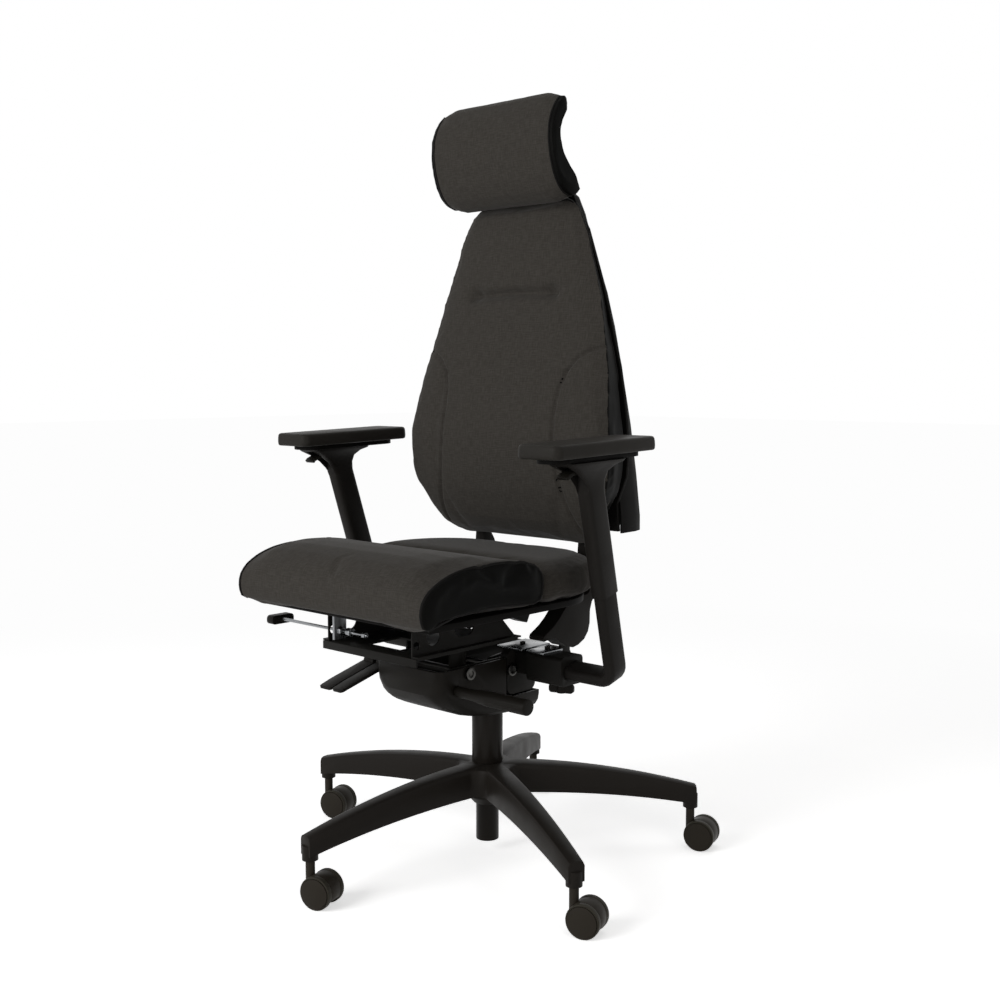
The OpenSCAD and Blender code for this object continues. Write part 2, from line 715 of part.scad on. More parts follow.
// Seat values
flange_t = 2.5;
web_t = 2.5;
flange_w = 14;
side_plate_front = -254;
side_plate_rear = -35;
side_plate_top_rear = -89;
web_hole_d = 28;
web_slot_l = 42;
web_slot_y = -148;
web_slot_z = 405;
web_hole_y = -212;
web_hole_z = 400;
flange_round_share = 0.4;
flange_slot_l = 14;
flange_slot_w = 5;
flange_slots = 3;
slide_gap = 0.3;
carrier_t = 3;
carrier_half_w = 102;
carrier_front = -256;
carrier_rear = -40;
carrier_lip_h = 12;
carrier_top = flange_z - flange_t - slide_gap;
carrier_window_w = 70;
carrier_window_l = 64;
board_top = board_z + board_t;
board_inset = 18;
board_front_inset = 27;
board_corner = 105;
rear_corner = 125;

module seat_side_plates() {
    color("#1c1b1a") both_sides() difference() {
        union() {
            translate([(plate_gap + web_t) / 2, 0, 0]) across(web_t)
                polygon([[side_plate_front, flange_z - flange_t], [side_plate_rear, flange_z - flange_t],
                         [side_plate_top_rear, board_z], [side_plate_front, board_z]]);
            translate([plate_gap / 2, side_plate_front, flange_z - flange_t])
                cube([flange_w, side_plate_rear - side_plate_front, flange_t]);
        }
        translate([plate_gap / 2, web_slot_y, web_slot_z]) across(4 * web_t) {
            for (s = [-1, 1]) translate([s * (web_slot_l - web_hole_d) / 2, 0]) circle(d = web_hole_d);
            square([web_slot_l - web_hole_d, web_hole_d], center = true);
        }
        translate([plate_gap / 2, web_hole_y, web_hole_z]) across(4 * web_t) circle(d = web_hole_d);
        translate([plate_gap / 2, adjuster_y, adjuster_z]) across(4 * web_t) circle(d = nut_d);
        for (k = [1 : flange_slots])
            translate([(plate_gap + flange_w + web_t) / 2,
                       mix(side_plate_front, side_plate_rear, k / (flange_slots + 1)),
                           flange_z - flange_t - over])
            linear_extrude(flange_t + 2 * over) round_rect(flange_slot_w, flange_slot_l,
                                                           flange_slot_w * flange_round_share);
    }
}

module seat_carrier() {
    color("#9a9a98") difference() {
        union() {
            translate([-carrier_half_w, carrier_front, carrier_top - carrier_t])
                cube([2 * carrier_half_w, carrier_rear - carrier_front, carrier_t]);
            translate([-carrier_half_w, carrier_front, carrier_top - carrier_lip_h])
                cube([2 * carrier_half_w, carrier_t, carrier_lip_h]);
            // Ears down to the seat pivot
            both_sides() translate([ear_in + ear_t / 2, 0, 0]) across(ear_t) {
                translate([-seat_pivot_y, seat_pivot_z]) circle(d = ear_w);
                translate([-seat_pivot_y - ear_w / 2, seat_pivot_z])
                    square([ear_w, carrier_top - seat_pivot_z]);
            }
        }
        translate([0, -seat_pivot_y, seat_pivot_z]) bar_x(shaft_d + 2 * fit, 2 * cover_w);
        translate([-carrier_window_w / 2, carrier_front + carrier_window_l / 2, carrier_top - 2 * carrier_t])
            cube([carrier_window_w, carrier_window_l, 3 * carrier_t]);
    }
}

// Depth adjuster under the front of the seat
adjuster_y = -245;
adjuster_z = 391;
adjuster_d = 5;
adjuster_out = -212;
adjuster_in = -13;
adjuster_knob_w = 15;
adjuster_knob_l = 42;
adjuster_knob_h = 14;
adjuster_round_share = 0.4;
latch_x = -76;
latch_t = 4;
latch_l = 24;
nut_d = 13;
nut_h = 6;
end_nut_d = 10;
collar_x = -52;
collar_l = 9;
module adjuster_rod() {
    color("#1d1b19") translate([adjuster_out - adjuster_knob_w / 2, adjuster_y, adjuster_z])
        across(adjuster_knob_w)
        round_rect(adjuster_knob_l, adjuster_knob_h, adjuster_knob_h * adjuster_round_share);
    color("silver") {
        translate([(adjuster_out + adjuster_in) / 2, adjuster_y, adjuster_z])
            bar_x(adjuster_d, adjuster_in - adjuster_out);
        // Stop collar and end nut
        translate([collar_x, adjuster_y, adjuster_z]) bar_x(nut_d, collar_l);
        translate([adjuster_in - nut_h, adjuster_y, adjuster_z]) rotate([0, 90, 0])
            cylinder(d = end_nut_d, h = nut_h, center = true, $fn = 6);
    }
}
module depth_latch() {
    color("#8f8f8d") {
        translate([latch_x, 0, 0]) across(latch_t) difference() {
            translate([adjuster_y - latch_l / 2, adjuster_z - nut_d])
                square([latch_l, board_z - adjuster_z + nut_d]);
            translate([adjuster_y, adjuster_z]) circle(r = adjuster_d / 2 + fit);
        }
        for (s = [-1, 1]) translate([latch_x + s * (latch_t + nut_h) / 2, adjuster_y, adjuster_z])
            difference() {
            rotate([0, 90, 0]) cylinder(d = nut_d, h = nut_h, center = true, $fn = 6);
            bar_x(adjuster_d + 2 * fit, 2 * nut_h);
        }
    }
}

// Plan of the seat, straight at the front and round at the rear corners
module seat_plan(half_w, front, rear, corner) {
    translate([-half_w, -front]) square([2 * half_w, front + rear - corner]);
    translate([corner - half_w, -front]) square([2 * (half_w - corner), front + rear]);
    for (s = [-1, 1]) translate([s * (half_w - corner), rear - corner]) circle(corner);
}

keel_half_w = 14;
keel_low = 368;
keel_rear = 82;
keel_front = 4;
keel_start_z = 396;
module seat_board() {
    color("#121110") {
        translate([0, 0, board_z]) linear_extrude(board_t)
            seat_plan(seat_half_w - board_inset, seat_front - board_front_inset, seat_rear - board_inset,
                      board_corner);
        // Sloping keel under the rear of the board
        across(2 * keel_half_w) polygon([[keel_front, board_z], [keel_front, keel_start_z],
                                         [keel_rear, keel_low],
                                         [keel_rear + board_t, keel_low + 2 * board_t],
                                             [keel_rear - board_t, board_z]]);
    }
}

// Side profile of the front cushion, from the rear underside round the nose to the notch:
// share of the cushion's length from the nose, share of its height in the middle and at the sides
front_profile_shares = [[0.96, 0, 0.05], [0.75, 0, 0.08], [0.5, 0, 0.1], [0.25, 0, 0.07],
                        [0.1075, 0, 0.03], [0.1, -0.09, -0.08], [0.035, -0.08, -0.08],
                        [0.008, 0.08, 0.06], [0, 0.29, 0.24], [0.02, 0.5, 0.41], [0.07, 0.71, 0.56],
                        [0.15, 0.88, 0.69], [0.26, 0.975, 0.79], [0.4, 1, 0.85], [0.55, 0.97, 0.88],
                        [0.7, 0.89, 0.88], [0.83, 0.79, 0.83], [0.93, 0.69, 0.75], [0.985, 0.56, 0.62],
                        [1, 0.38, 0.42], [0.99, 0.16, 0.2]];
front_stations_share = [-1, -0.965, -0.9, -0.78, -0.55, -0.28, 0, 0.28, 0.55, 0.78, 0.9, 0.965, 1];
side_from_share = 0.7;
soft_gap = 0.4;
side_crown = 3;
split_gap = 1.2;
end_share = 0.8;
function front_ring(share) =
    let (e = ease((abs(share) - side_from_share) / (1 - side_from_share)),
         l = seat_front - seat_split - split_gap)
    [for (i = [len(front_profile_shares) - 1 : -1 : 0]) let (p = front_profile_shares[i])
        [share * seat_half_w, l * p[0] - seat_front,
         board_top + soft_gap + front_roll_h * mix(p[1], p[2], e)]];
function middle_of(ring) = [for (p = ring) 1] * ring / len(ring);
// The ring drawn in towards its middle and moved along X
function shrunk(ring, k, dx) = let (c = middle_of(ring)) [for (p = ring) c + (p - c) * k + [dx, 0, 0]];
module seat_front_cushion() {
    rings = [for (s = front_stations_share) front_ring(s)];
    color("#383430") loft(concat([shrunk(front_ring(-1), end_share, -side_crown)], rings,
                                 [shrunk(front_ring(1), end_share, side_crown)]));
}

// Plan of the rear cushion as a ring of points, anticlockwise from above, drawn in by an inset
split_round = 14;
rear_edge_shares = [-1, -0.6, -0.2, 0.2, 0.6, 1];
function rear_plan(inset) =
    let (w = seat_half_w - inset, f = split_gap + inset - seat_split, r = rear_corner - inset,
         b = seat_rear - inset,
         c = split_round)
    concat(
        [for (k = [1, 2]) let (a = 45 * k - 90) [w - c + c * cos(a), f + c + c * sin(a)]],
        [for (k = [0 : 8]) let (a = 90 / 8 * k) [w - r + r * cos(a), b - r + r * sin(a)]],
        [for (k = [0 : 8]) let (a = 90 + 90 / 8 * k) [r - w + r * cos(a), b - r + r * sin(a)]],
        [for (k = [0, 1]) let (a = 180 + 45 * k) [c - w + c * cos(a), f + c + c * sin(a)]],
        [for (s = rear_edge_shares) [s * (w - c), f]]);
// Inset as a share of the cushion's half width, and height as a share of its thickness
rear_layer_shares = [[0.07, 0], [0.01, 0.1], [0, 0.3], [0.003, 0.55], [0.015, 0.75], [0.045, 0.88],
                     [0.1, 0.95],
    [0.17, 0.985], [0.24, 1]];
module seat_rear_cushion() {
    color("#383430") loft([for (l = rear_layer_shares)
        [for (p = rear_plan(l[0] * seat_half_w)) [p[0], p[1], board_top + soft_gap + rear_pad_h * l[1]]]]);
}

// Back frame values. The hook's outline is given in shares of its depth and height.
hook_front = 39;
hook_rear = 135;
hook_low = 346;
hook_top = 516;
hook_shares = [[0.24, 0], [0.38, 0.015], [0.53, 0.055], [0.63, 0.12], [0.675, 0.2], [0.68, 0.32],
               [0.73, 0.4], [0.86, 0.48], [0.96, 0.56], [1, 0.66], [0.985, 0.76], [0.93, 0.87],
               [0.82, 1], [0.64, 1], [0.66, 0.88], [0.69, 0.77], [0.7, 0.68], [0.685, 0.6],
               [0.665, 0.5], [0.6, 0.475], [0.4, 0.47], [0.22, 0.45], [0.083, 0.406],
               [-0.01, 0.359], [-0.125, 0.294], [-0.26, 0.235], [-0.39, 0.194], [-0.49, 0.165],
               [-0.51, 0.135], [-0.49, 0.115], [-0.354, 0.124], [-0.198, 0.122], [-0.073, 0.075],
               [0.0625, 0.026]];
hook_top_w = 14;
hook_taper_share = 0.3;
blade_w = 12;
blade_t = 7;
blade_y = 108;
blade_h = 84;
cross_d = 26;
cross_y = 80;
cross_z = 326;
cross_lug_t = 4;
lug_w_share = 0.9;
lug_h_share = 0.17;
cross_ear_in = 28;
cross_ear_t = 6;
cross_ear_d = 30;
module back_arm() {
    x = back_arm_gap / 2;
    intersection() {
        translate([x, 0, 0]) across(back_arm_w) polygon([for (p = hook_shares)
            [mix(hook_front, hook_rear, p[0]), mix(hook_low, hook_top, p[1])]]);
        // The upper end narrows towards the blade
        translate([x, cover_w * 2, 0]) rotate([90, 0, 0]) linear_extrude(4 * cover_w)
            polygon([[-back_arm_w / 2, hook_low], [back_arm_w / 2, hook_low],
                     [back_arm_w / 2, mix(hook_top, hook_low, hook_taper_share)], [hook_top_w / 2, hook_top],
                     [-hook_top_w / 2, hook_top],
                         [-back_arm_w / 2, mix(hook_top, hook_low, hook_taper_share)]]);
    }
    translate([x - blade_w / 2, blade_y - blade_t / 2, hook_top - blade_t]) cube([blade_w, blade_t, blade_h]);
}
module back_arm_left() { color("#1f1d1b") back_arm(); }
module back_arm_right() { color("#1f1d1b") mirror([1, 0, 0]) back_arm(); }
module back_cross() {
    lug_x = (back_arm_gap - back_arm_w) / 2 - cross_lug_t;
    color("#1a1918") difference() {
        union() {
            translate([0, cross_y, cross_z]) bar_x(cross_d, 2 * (lug_x + cross_lug_t));
            both_sides() {
                // Lugs that the hooks' feet bolt to
                translate([lug_x + cross_lug_t / 2, 0, 0]) across(cross_lug_t) {
                    translate([cross_y, cross_z]) circle(d = cross_d);
                    translate([cross_y - cross_d / 2, cross_z])
                        square([cross_d * lug_w_share, mix(hook_low, hook_top, lug_h_share) - cross_z]);
                }
                // Ears forward to the back pivot
                translate([cross_ear_in + cross_ear_t / 2, 0, 0]) across(cross_ear_t) {
                    translate([-back_pivot_y, back_pivot_z]) circle(d = cross_ear_d);
                    translate([cross_y, cross_z]) circle(d = cross_d);
                    polygon([[-back_pivot_y, back_pivot_z - cross_ear_d / 2],
                             [cross_y, cross_z - cross_d / 2],
                             [cross_y, cross_z + cross_d / 2],
                                 [-back_pivot_y, back_pivot_z + cross_ear_d / 2]]);
                }
            }
        }
        translate([0, -back_pivot_y, back_pivot_z]) bar_x(shaft_d + 2 * fit, cover_w);
    }
}

// Backrest. Share of the cushion's height, share of its half width, and depth of its edge as a share of its bulge.
back_h = back_top - back_low;
board_back_y = 97;
back_board_t = 6;
back_bulge = 70;
back_shares = [[0, 0.6], [0.02, 0.74], [0.06, 0.8], [0.095, 0.845], [0.13, 0.905], [0.17, 0.963],
               [0.21, 0.986],
    [0.26, 0.996], [0.315, 1], [0.353, 0.983], [0.39, 0.97], [0.445, 0.952], [0.5, 0.928], [0.556, 0.894],
        [0.61, 0.855],
    [0.667, 0.82], [0.723, 0.783], [0.778, 0.734], [0.834, 0.686], [0.89, 0.643], [0.94, 0.58],
        [0.98, 0.53], [1, 0.46]];
back_edge_shares = [[0, 0.1], [0.04, 0.45], [0.095, 0.7], [0.17, 0.9], [0.28, 0.985], [0.353, 0.957],
                    [0.445, 0.79],
    [0.5, 0.686], [0.61, 0.486], [0.723, 0.33], [0.834, 0.23], [0.94, 0.16], [1, 0.06]];
back_crown = 15;
seam_share = 0.62;
seam_half_share = 0.05;
seam_depth = 4;
seam_top_share = 0.56;
seam_fade_share = 0.06;
tuft_share = 0.728;
tuft_half_share = 0.022;
tuft_depth = 5;
low_fade_share = 0.08;
top_fade_share = 0.05;
crown_power = 2.4;
edge_power = 8;
edge_round_share = 0.12;
back_pull = 5;
rear_points_share = [0.97, 0.5, 0, -0.5, -0.97];
front_points_share = [-1, -0.93, -0.82, -0.7, -0.66, -0.62, -0.58, -0.5, -0.3, -0.1, 0.1, 0.3, 0.5, 0.58,
                      0.62, 0.66, 0.7,
    0.82, 0.93, 1];
function dent(x, half) = max(0, 1 - abs(x) / half);
function back_ring(t) =
    let (w = back_half_w * on_curve(back_shares, t), e = back_bulge * on_curve(back_edge_shares, t),
         live = ease(t / low_fade_share) * ease((1 - t) / top_fade_share), z = back_low + back_h * t)
    concat(
        [for (s = front_points_share)
            let (crown = back_crown * live * (1 - pow(abs(s), crown_power)),
                 seam = seam_depth * live * ease((seam_top_share - t) / seam_fade_share)
                        * dent(abs(s) - seam_share, seam_half_share),
                 tuft = abs(s) < seam_share ? tuft_depth * dent(t - tuft_share, tuft_half_share) : 0,
                 pull = back_pull * (1 - live))
            [s * (w - pull), board_back_y - soft_gap - e * (1 - edge_round_share * pow(abs(s),
                    edge_power)) - crown + seam + tuft, z]],
        [for (s = rear_points_share) [s * (w - back_pull), board_back_y - soft_gap, z]]);
back_rings_share = [0, 0.012, 0.035, 0.07, 0.11, 0.16, 0.21, 0.26, 0.32, 0.38, 0.44, 0.5, 0.56, 0.61,
                    0.66, 0.706, 0.728, 0.75, 0.79, 0.84, 0.89, 0.93, 0.965, 0.988, 1];
module back_cushion() { color("#383430") loft([for (t = back_rings_share) back_ring(t)]); }

// Flat strip of one thickness along a path of points
function along(path, i) = let (d = path[min(i + 1, len(path) - 1)] - path[max(i - 1, 0)]) d / norm(d);
module strip(path, t) {
    n = len(path);
    polygon(concat([for (i = [0 : n - 1]) let (d = along(path, i)) path[i] + [-d[1], d[0]] * t / 2],
                   [for (i = [n - 1 : -1 : 0]) let (d = along(path, i)) path[i] - [-d[1], d[0]] * t / 2]));
}

// Shell values: share of its height, half width as a share of the foot's, rear reach as a share of the greatest
shell_low = 529;
shell_top = 1066;
shell_reach = 100;
shell_t = 3;
shell_cap = 40;
shell_side_power = 0.44;
shell_rear_power = 0.62;
shell_shares = [[0, 0.995, 0.985], [0.04, 0.99, 1], [0.16, 0.955, 0.97], [0.31, 0.897, 0.93],
                [0.48, 0.811, 0.86], [0.6, 0.757, 0.77], [0.7, 0.7, 0.67], [0.775, 0.638, 0.58],
                [0.86, 0.573, 0.46], [0.93, 0.53, 0.37], [0.98, 0.476, 0.3], [1, 0.42, 0.22]];
shell_sides = 14;
board_rear_y = board_back_y + back_board_t;
function shell_ring(p, wall, z) =
    let (w = shell_half_w * p[1] - wall, d = shell_reach * p[2] - wall)
    [for (k = [0 : shell_sides]) let (a = 180 * k / shell_sides)
        [w * sign(cos(a)) * pow(abs(cos(a)), shell_side_power),
         board_rear_y + (wall > 0 ? -over : 0) + d * pow(sin(a), shell_rear_power), z]];
function shell_z(p) = mix(shell_low, shell_top, p[0]);
module back_shell() {
    color("#161514") difference() {
        loft([for (p = shell_shares) shell_ring(p, 0, shell_z(p))]);
        loft([for (i = [0 : len(shell_shares) - 2]) let (p = shell_shares[i])
            shell_ring(p, shell_t, i == 0 ? shell_low - over : shell_z(p))]);
        translate([0, post_y, shell_top - shell_cap]) linear_extrude(shell_cap + over)
            square([post_w + 2 * gap, post_t + 2 * gap], center = true);
    }
}

// Inner board with the two guides in which the blades of the back frame slide
board_steps = 12;
board_low = 532;
board_high = 1044;
board_margin = 8;
guide_wall = 4;
guide_low = 540;
guide_h = 74;
function shell_half(z) = shell_half_w * on_curve([for (p = shell_shares) [p[0], p[1]]],
                                                 (z - shell_low) / (shell_top - shell_low));
function board_half(z) = max(back_half_w * on_curve(back_shares, (z - back_low) / back_h) - board_margin,
                             shell_half(z) - shell_t);
module back_board() {
    z = [for (i = [0 : board_steps]) mix(board_low, board_high, i / board_steps)];
    color("#1c1a19") difference() {
        union() {
            translate([0, board_rear_y, 0]) rotate([90, 0, 0]) linear_extrude(back_board_t)
                polygon(concat([for (h = z) [board_half(h), h]],
                               [for (i = [board_steps : -1 : 0]) [-board_half(z[i]), z[i]]]));
            both_sides() translate([back_arm_gap / 2 - blade_w / 2 - guide_wall, board_rear_y - over,
                                    guide_low])
                cube([blade_w + 2 * guide_wall, blade_y + blade_t / 2 + guide_wall + over - board_rear_y,
                      guide_h]);
        }
        both_sides() translate([(back_arm_gap - blade_w) / 2 - gap, blade_y - blade_t / 2 - gap,
                                guide_low - over])
            cube([blade_w + 2 * gap, blade_t + 2 * gap, guide_h + 2 * over]);
    }
}

// Headrest values. Profile in shares of the depth from the front, of the height from below, and of the
// depth at the ends, where the rear is hollow
head_front_y = 5;
head_profile_shares = [[1, 0.077, 1], [0.884, 0.022, 0.884], [0.74, 0, 0.74], [0.536, 0.028, 0.536],
                       [0.32, 0.098, 0.333], [0.14, 0.216, 0.174], [0.02, 0.375, 0.058],
                       [-0.04, 0.535, 0], [-0.02, 0.7, 0.022], [0.09, 0.84, 0.13], [0.23, 0.937, 0.26],
                       [0.42, 1, 0.39], [0.58, 0.985, 0.49], [0.65, 0.923, 0.53], [0.65, 0.84, 0.45],
                       [0.63, 0.757, 0.333], [0.61, 0.646, 0.275], [0.61, 0.562, 0.29],
                       [0.63, 0.424, 0.39], [0.74, 0.285, 0.62], [0.9, 0.174, 0.884]];
head_stations_share = [-1, -0.975, -0.92, -0.84, -0.74, -0.55, -0.28, 0, 0.28, 0.55, 0.74, 0.84, 0.92, 0.975,
                       1];
head_end_share = 0.9;
head_from_share = 0.72;
head_crown_power = 2;
function head_ring(s) =
    let (e = ease((abs(s) - head_from_share) / (1 - head_from_share)), k = mix(1, head_end_share, e),
         f = pow(abs(s), head_crown_power))
    [for (i = [len(head_profile_shares) - 1 : -1 : 0]) let (p = head_profile_shares[i])
        [s * head_half_w, head_front_y + head_t * mix(p[0], p[2], p[0] < p[2] ? f : e),
         head_low + head_h * (0.5 + (p[1] - 0.5) * k)]];
module headrest_cushion() {
    rings = [for (s = head_stations_share) head_ring(s)];
    color("#383430") loft(concat([shrunk(rings[0], end_share, -side_crown)], rings,
                                 [shrunk(rings[len(rings) - 1], end_share, side_crown)]));
}

head_shell_t = 4;
head_shell_gap = 1;
head_shell_w_share = 0.71;
head_round_share = 0.3;
head_pivot_y = 68;
head_pivot_z = 1126;
head_pin_d = 8;
head_ear_d = 17;
head_ear_in = 13;
head_ear_t = 4;
head_pin_l = 40;
head_shell_shares = [[0.9, 0.174], [0.74, 0.285], [0.63, 0.424], [0.61, 0.562], [0.61, 0.646], [0.63, 0.757],
                     [0.65, 0.84]];
module headrest_shell() {
    shift = head_shell_t / 2 + head_shell_gap;
    path = [for (p = head_shell_shares) [head_front_y + head_t * p[0] + shift, head_low + head_h * p[1]]];
    color("#1b1917") {
        intersection() {
            across(2 * head_half_w) strip(path, head_shell_t);
            translate([0, 2 * head_t, head_low + head_h / 2]) rotate([90, 0, 0]) linear_extrude(4 * head_t)
                round_rect(2 * head_half_w * head_shell_w_share, head_h * head_shell_w_share,
                           head_h * head_round_share);
        }
        // Ears that turn on the post's pin
        both_sides() translate([head_ear_in + head_ear_t / 2, 0, 0]) across(head_ear_t) difference() {
            union() {
                translate([head_pivot_y, head_pivot_z]) circle(d = head_ear_d);
                translate([path[2][0], head_pivot_z - head_ear_d / 2])
                    square([head_pivot_y - path[2][0], head_ear_d]);
            }
            translate([head_pivot_y, head_pivot_z]) circle(r = head_pin_d / 2 + fit);
        }
    }
}

// Post that slides in the backrest and carries the headrest on its pin
post_w = 34;
post_t = 4.5;
post_top_w = 25;
post_gap = 0.45;
post_y = board_rear_y + post_gap + post_t / 2;
post_low = 962;
post_bend_z = 1076;
post_bend_shares = [[0, 0], [0.05, 0.35], [0.2, 0.66], [0.5, 0.9], [1, 1]];
post_eye_d = 14;
module headrest_post() {
    path = concat([[post_y, post_low]], [for (p = post_bend_shares)
        [mix(post_y, head_pivot_y, p[0]), mix(post_bend_z, head_pivot_z, p[1])]]);
    color("#1a1918") difference() {
        union() {
            across(post_top_w) {
                strip(path, post_t);
                translate([head_pivot_y, head_pivot_z]) circle(d = post_eye_d);
            }
            translate([0, post_y, (post_low + post_bend_z) / 2])
                cube([post_w, post_t, post_bend_z - post_low], center = true);
        }
        translate([0, head_pivot_y, head_pivot_z]) bar_x(head_pin_d, head_pin_l);
    }
    color("silver") translate([0, head_pivot_y, head_pivot_z]) bar_x(head_pin_d, head_pin_l);
}

// Arms. A tube slides in the clamp and carries the sleeve, which slides on it.
sleeve_l = 205;
sleeve_round = 8;
neck_start = 45;
// Rings of the sleeve's head: share of the neck's length below its top, width and depth as shares of the
// sleeve's, and share of the turn towards the pad's slope
neck_shares = [[1, 1, 1, 0], [0.71, 1.06, 1.14, 0.1], [0.44, 1.24, 1.46, 0.4], [0.22, 1.6, 2.1, 0.75],
    [0.09, 1.95, 2.75, 0.95], [0, 2.08, 2.93, 1]];
function arm_axis() = [sin(splay), -sin(sleeve_lean) * cos(splay), cos(sleeve_lean) * cos(splay)];
function arm_ring(down, w, d, r, turn) =
    let (c = [arm_top_x, arm_top_y, arm_top_z] - arm_axis() * down)
    [for (p = round_ring(w, d, r)) c + p[0] * [cos(splay * (1 - turn)), 0, -sin(splay * (1 - turn))]
                                     + p[1] * [0, cos(mix(sleeve_lean, pad_slope, turn)),
                                               sin(mix(sleeve_lean, pad_slope, turn))]];
module in_arm_frame() {
    translate([arm_top_x, arm_top_y, arm_top_z]) rotate([sleeve_lean, 0, 0]) rotate([0, splay, 0]) children();
}
tube_bend_steps = 6;
// Section of the tube after a turn of the bend, moved on along the tube
function tube_ring(turn, on) =
    [for (p = round_ring(tube_w, tube_d, tube_round))
        [(tube_bend + p[0]) * cos(turn) - tube_bend - on * sin(turn), p[1],
         -tube_l - (tube_bend + p[0]) * sin(turn) - on * cos(turn)]];
module arm_bracket() {
    // End of the bend, back in the chair's frame
    end_x = arm_top_x + bend_shift * cos(splay) - (tube_l + tube_bend * sin(bend_turn)) * sin(splay);
    color("#121110") in_arm_frame() loft(concat([tube_ring(bend_turn, end_x - tube_in_x)],
        [for (k = [tube_bend_steps : -1 : 0]) tube_ring(bend_turn * k / tube_bend_steps, 0)],
        [tube_ring(0, tube_up - tube_l)]));
}
// Notch for the trigger in the front of the sleeve's head
trigger_w = 20;
trigger_y = -101;
trigger_z = 641;
trigger_pin_d = 4;
trigger_notch_top = 648.5;
trigger_notch_y = -93;
trigger_pin_l = 30;
trigger_boss_d = 9;
trigger_tip_y = -139;
trigger_tip_z = 632;
trigger_t = 5;
trigger_shares = [[0, 0], [0.4, -0.05], [0.72, 0.25], [0.92, 0.62], [1, 1]];
module arm_sleeve() {
    color("#131211") difference() {
        union() {
            difference() {
                loft(concat([arm_ring(sleeve_l, sleeve_w, sleeve_d, sleeve_round, 0)], [for (r = neck_shares)
                    arm_ring(neck_start * r[0], sleeve_w * r[1], sleeve_d * r[2], sleeve_round, r[3])]));
                translate([arm_top_x - trigger_w / 2 - gap, trigger_notch_y - cover_w,
                           trigger_notch_top - cover_w])
                    cube([trigger_w + 2 * gap, cover_w, cover_w]);
            }
            translate([arm_top_x, trigger_y, trigger_z]) bar_x(trigger_pin_d, trigger_pin_l);
        }
        in_arm_frame() translate([0, 0, -sleeve_l - over]) linear_extrude(sleeve_l + over - neck_start + over)
            round_rect(tube_w + 2 * tube_gap, tube_d + 2 * tube_gap, tube_round + tube_gap);
        on_arm_top(arm_top_y) translate([pad_offset, 0, -swivel_pin_l - gap])
            cylinder(r = swivel_pin_d / 2 + fit, h = swivel_pin_l + gap + over);
    }
}
module arm_trigger() {
    path = [for (p = trigger_shares) [mix(trigger_y, trigger_tip_y, p[0]),
                                      mix(trigger_z, trigger_tip_z, p[1])]];
    color("#1f1d1b") difference() {
        translate([arm_top_x, trigger_y, trigger_z]) bar_x(trigger_boss_d, trigger_w);
        translate([arm_top_x, trigger_y, trigger_z]) bar_x(trigger_pin_d + 2 * fit, 2 * trigger_w);
    }
    color("#1f1d1b") difference() {
        translate([arm_top_x, 0, 0]) across(trigger_w) strip(path, trigger_t);
        translate([arm_top_x, trigger_y, trigger_z]) bar_x(trigger_pin_d + 2 * fit, 2 * trigger_w);
    }
}
// Plate on the sleeve's head, on which the pad turns and slides
support_t = 7;
support_w = 56;
support_l = 190;
support_round = 24;
support_gap = 0.4;
swivel_pin_d = 8;
swivel_pin_l = 7;
pad_mid_y = -72;
pad_round = 13;
pad_edge_shares = [[0, 0.03], [0.09, 0.008], [0.3, 0], [0.65, 0.004], [0.84, 0.012], [0.95, 0.03], [1, 0.062]];
module on_arm_top(y) {
    translate([pad_x, arm_top_y, arm_top_z]) rotate([pad_slope, 0, 0]) translate([0, y - arm_top_y, 0])
        children();
}
module arm_plate() {
    color("#161514") {
        on_arm_top(pad_mid_y) translate([0, 0, support_gap]) linear_extrude(support_t)
            round_rect(support_w, support_l, support_round);
        // Pin on which the plate swivels
        on_arm_top(arm_top_y) translate([pad_offset, 0, -swivel_pin_l])
            cylinder(d = swivel_pin_d, h = swivel_pin_l + support_gap + over);
    }
}
module arm_pad() {
    low = support_gap * 2 + support_t;
    color("#3a3733") on_arm_top(pad_mid_y) loft([for (p = pad_edge_shares)
        let (inset = pad_w * p[1])
        [for (q = round_ring(pad_w - 2 * inset, pad_l - 2 * inset, pad_round - inset, 6)) [q[0], q[1],
                low + pad_t * p[0]]]]);
}
knob_d = 15;
knob_h = 14;
knob_wing_l = 40;
knob_wing_t = 7;
knob_gap = 1;
knob_turn = 20;
knob_round_share = 0.35;
module arm_knob() {
    color("#1c1a18") translate([knob_x, arm_bar_y, clamp_low - knob_gap - knob_h]) {
        cylinder(d = knob_d, h = knob_h);
        rotate([90, 0, knob_turn]) linear_extrude(knob_wing_t, center = true) translate([0, knob_h / 2])
            round_rect(knob_wing_l, knob_h, knob_h * knob_round_share);
        cylinder(d = knob_screw_d, h = knob_h + arm_bar_z - clamp_low - tube_w / 2 - gap);
    }
}

star_base();
column_tube();
column_bush();
thrust_bearing();
caster_hood(0);  // caster_hood_1
caster_hood(1);  // caster_hood_2
caster_hood(2);  // caster_hood_3
caster_hood(3);  // caster_hood_4
caster_hood(4);  // caster_hood_5
caster_wheels(0);  // caster_wheels_1
caster_wheels(1);  // caster_wheels_2
caster_wheels(2);  // caster_wheels_3
caster_wheels(3);  // caster_wheels_4
caster_wheels(4);  // caster_wheels_5
caster_treads(0);  // caster_treads_1
caster_treads(1);  // caster_treads_2
caster_treads(2);  // caster_treads_3
caster_treads(3);  // caster_treads_4
caster_treads(4);  // caster_treads_5
piston_rod();
gas_cylinder();
mechanism_housing();
mechanism_cover();
pivot_shafts();
tension_spring();
arm_clamps();
bracket_plates();
bracket_bolts();
tension_handle();
lift_lever();
tilt_lever();
seat_carrier();
adjuster_rod();
depth_latch();
seat_side_plates();
seat_board();
seat_front_cushion();
seat_rear_cushion();
back_arm_left();
back_arm_right();
back_cross();
back_board();
back_shell();
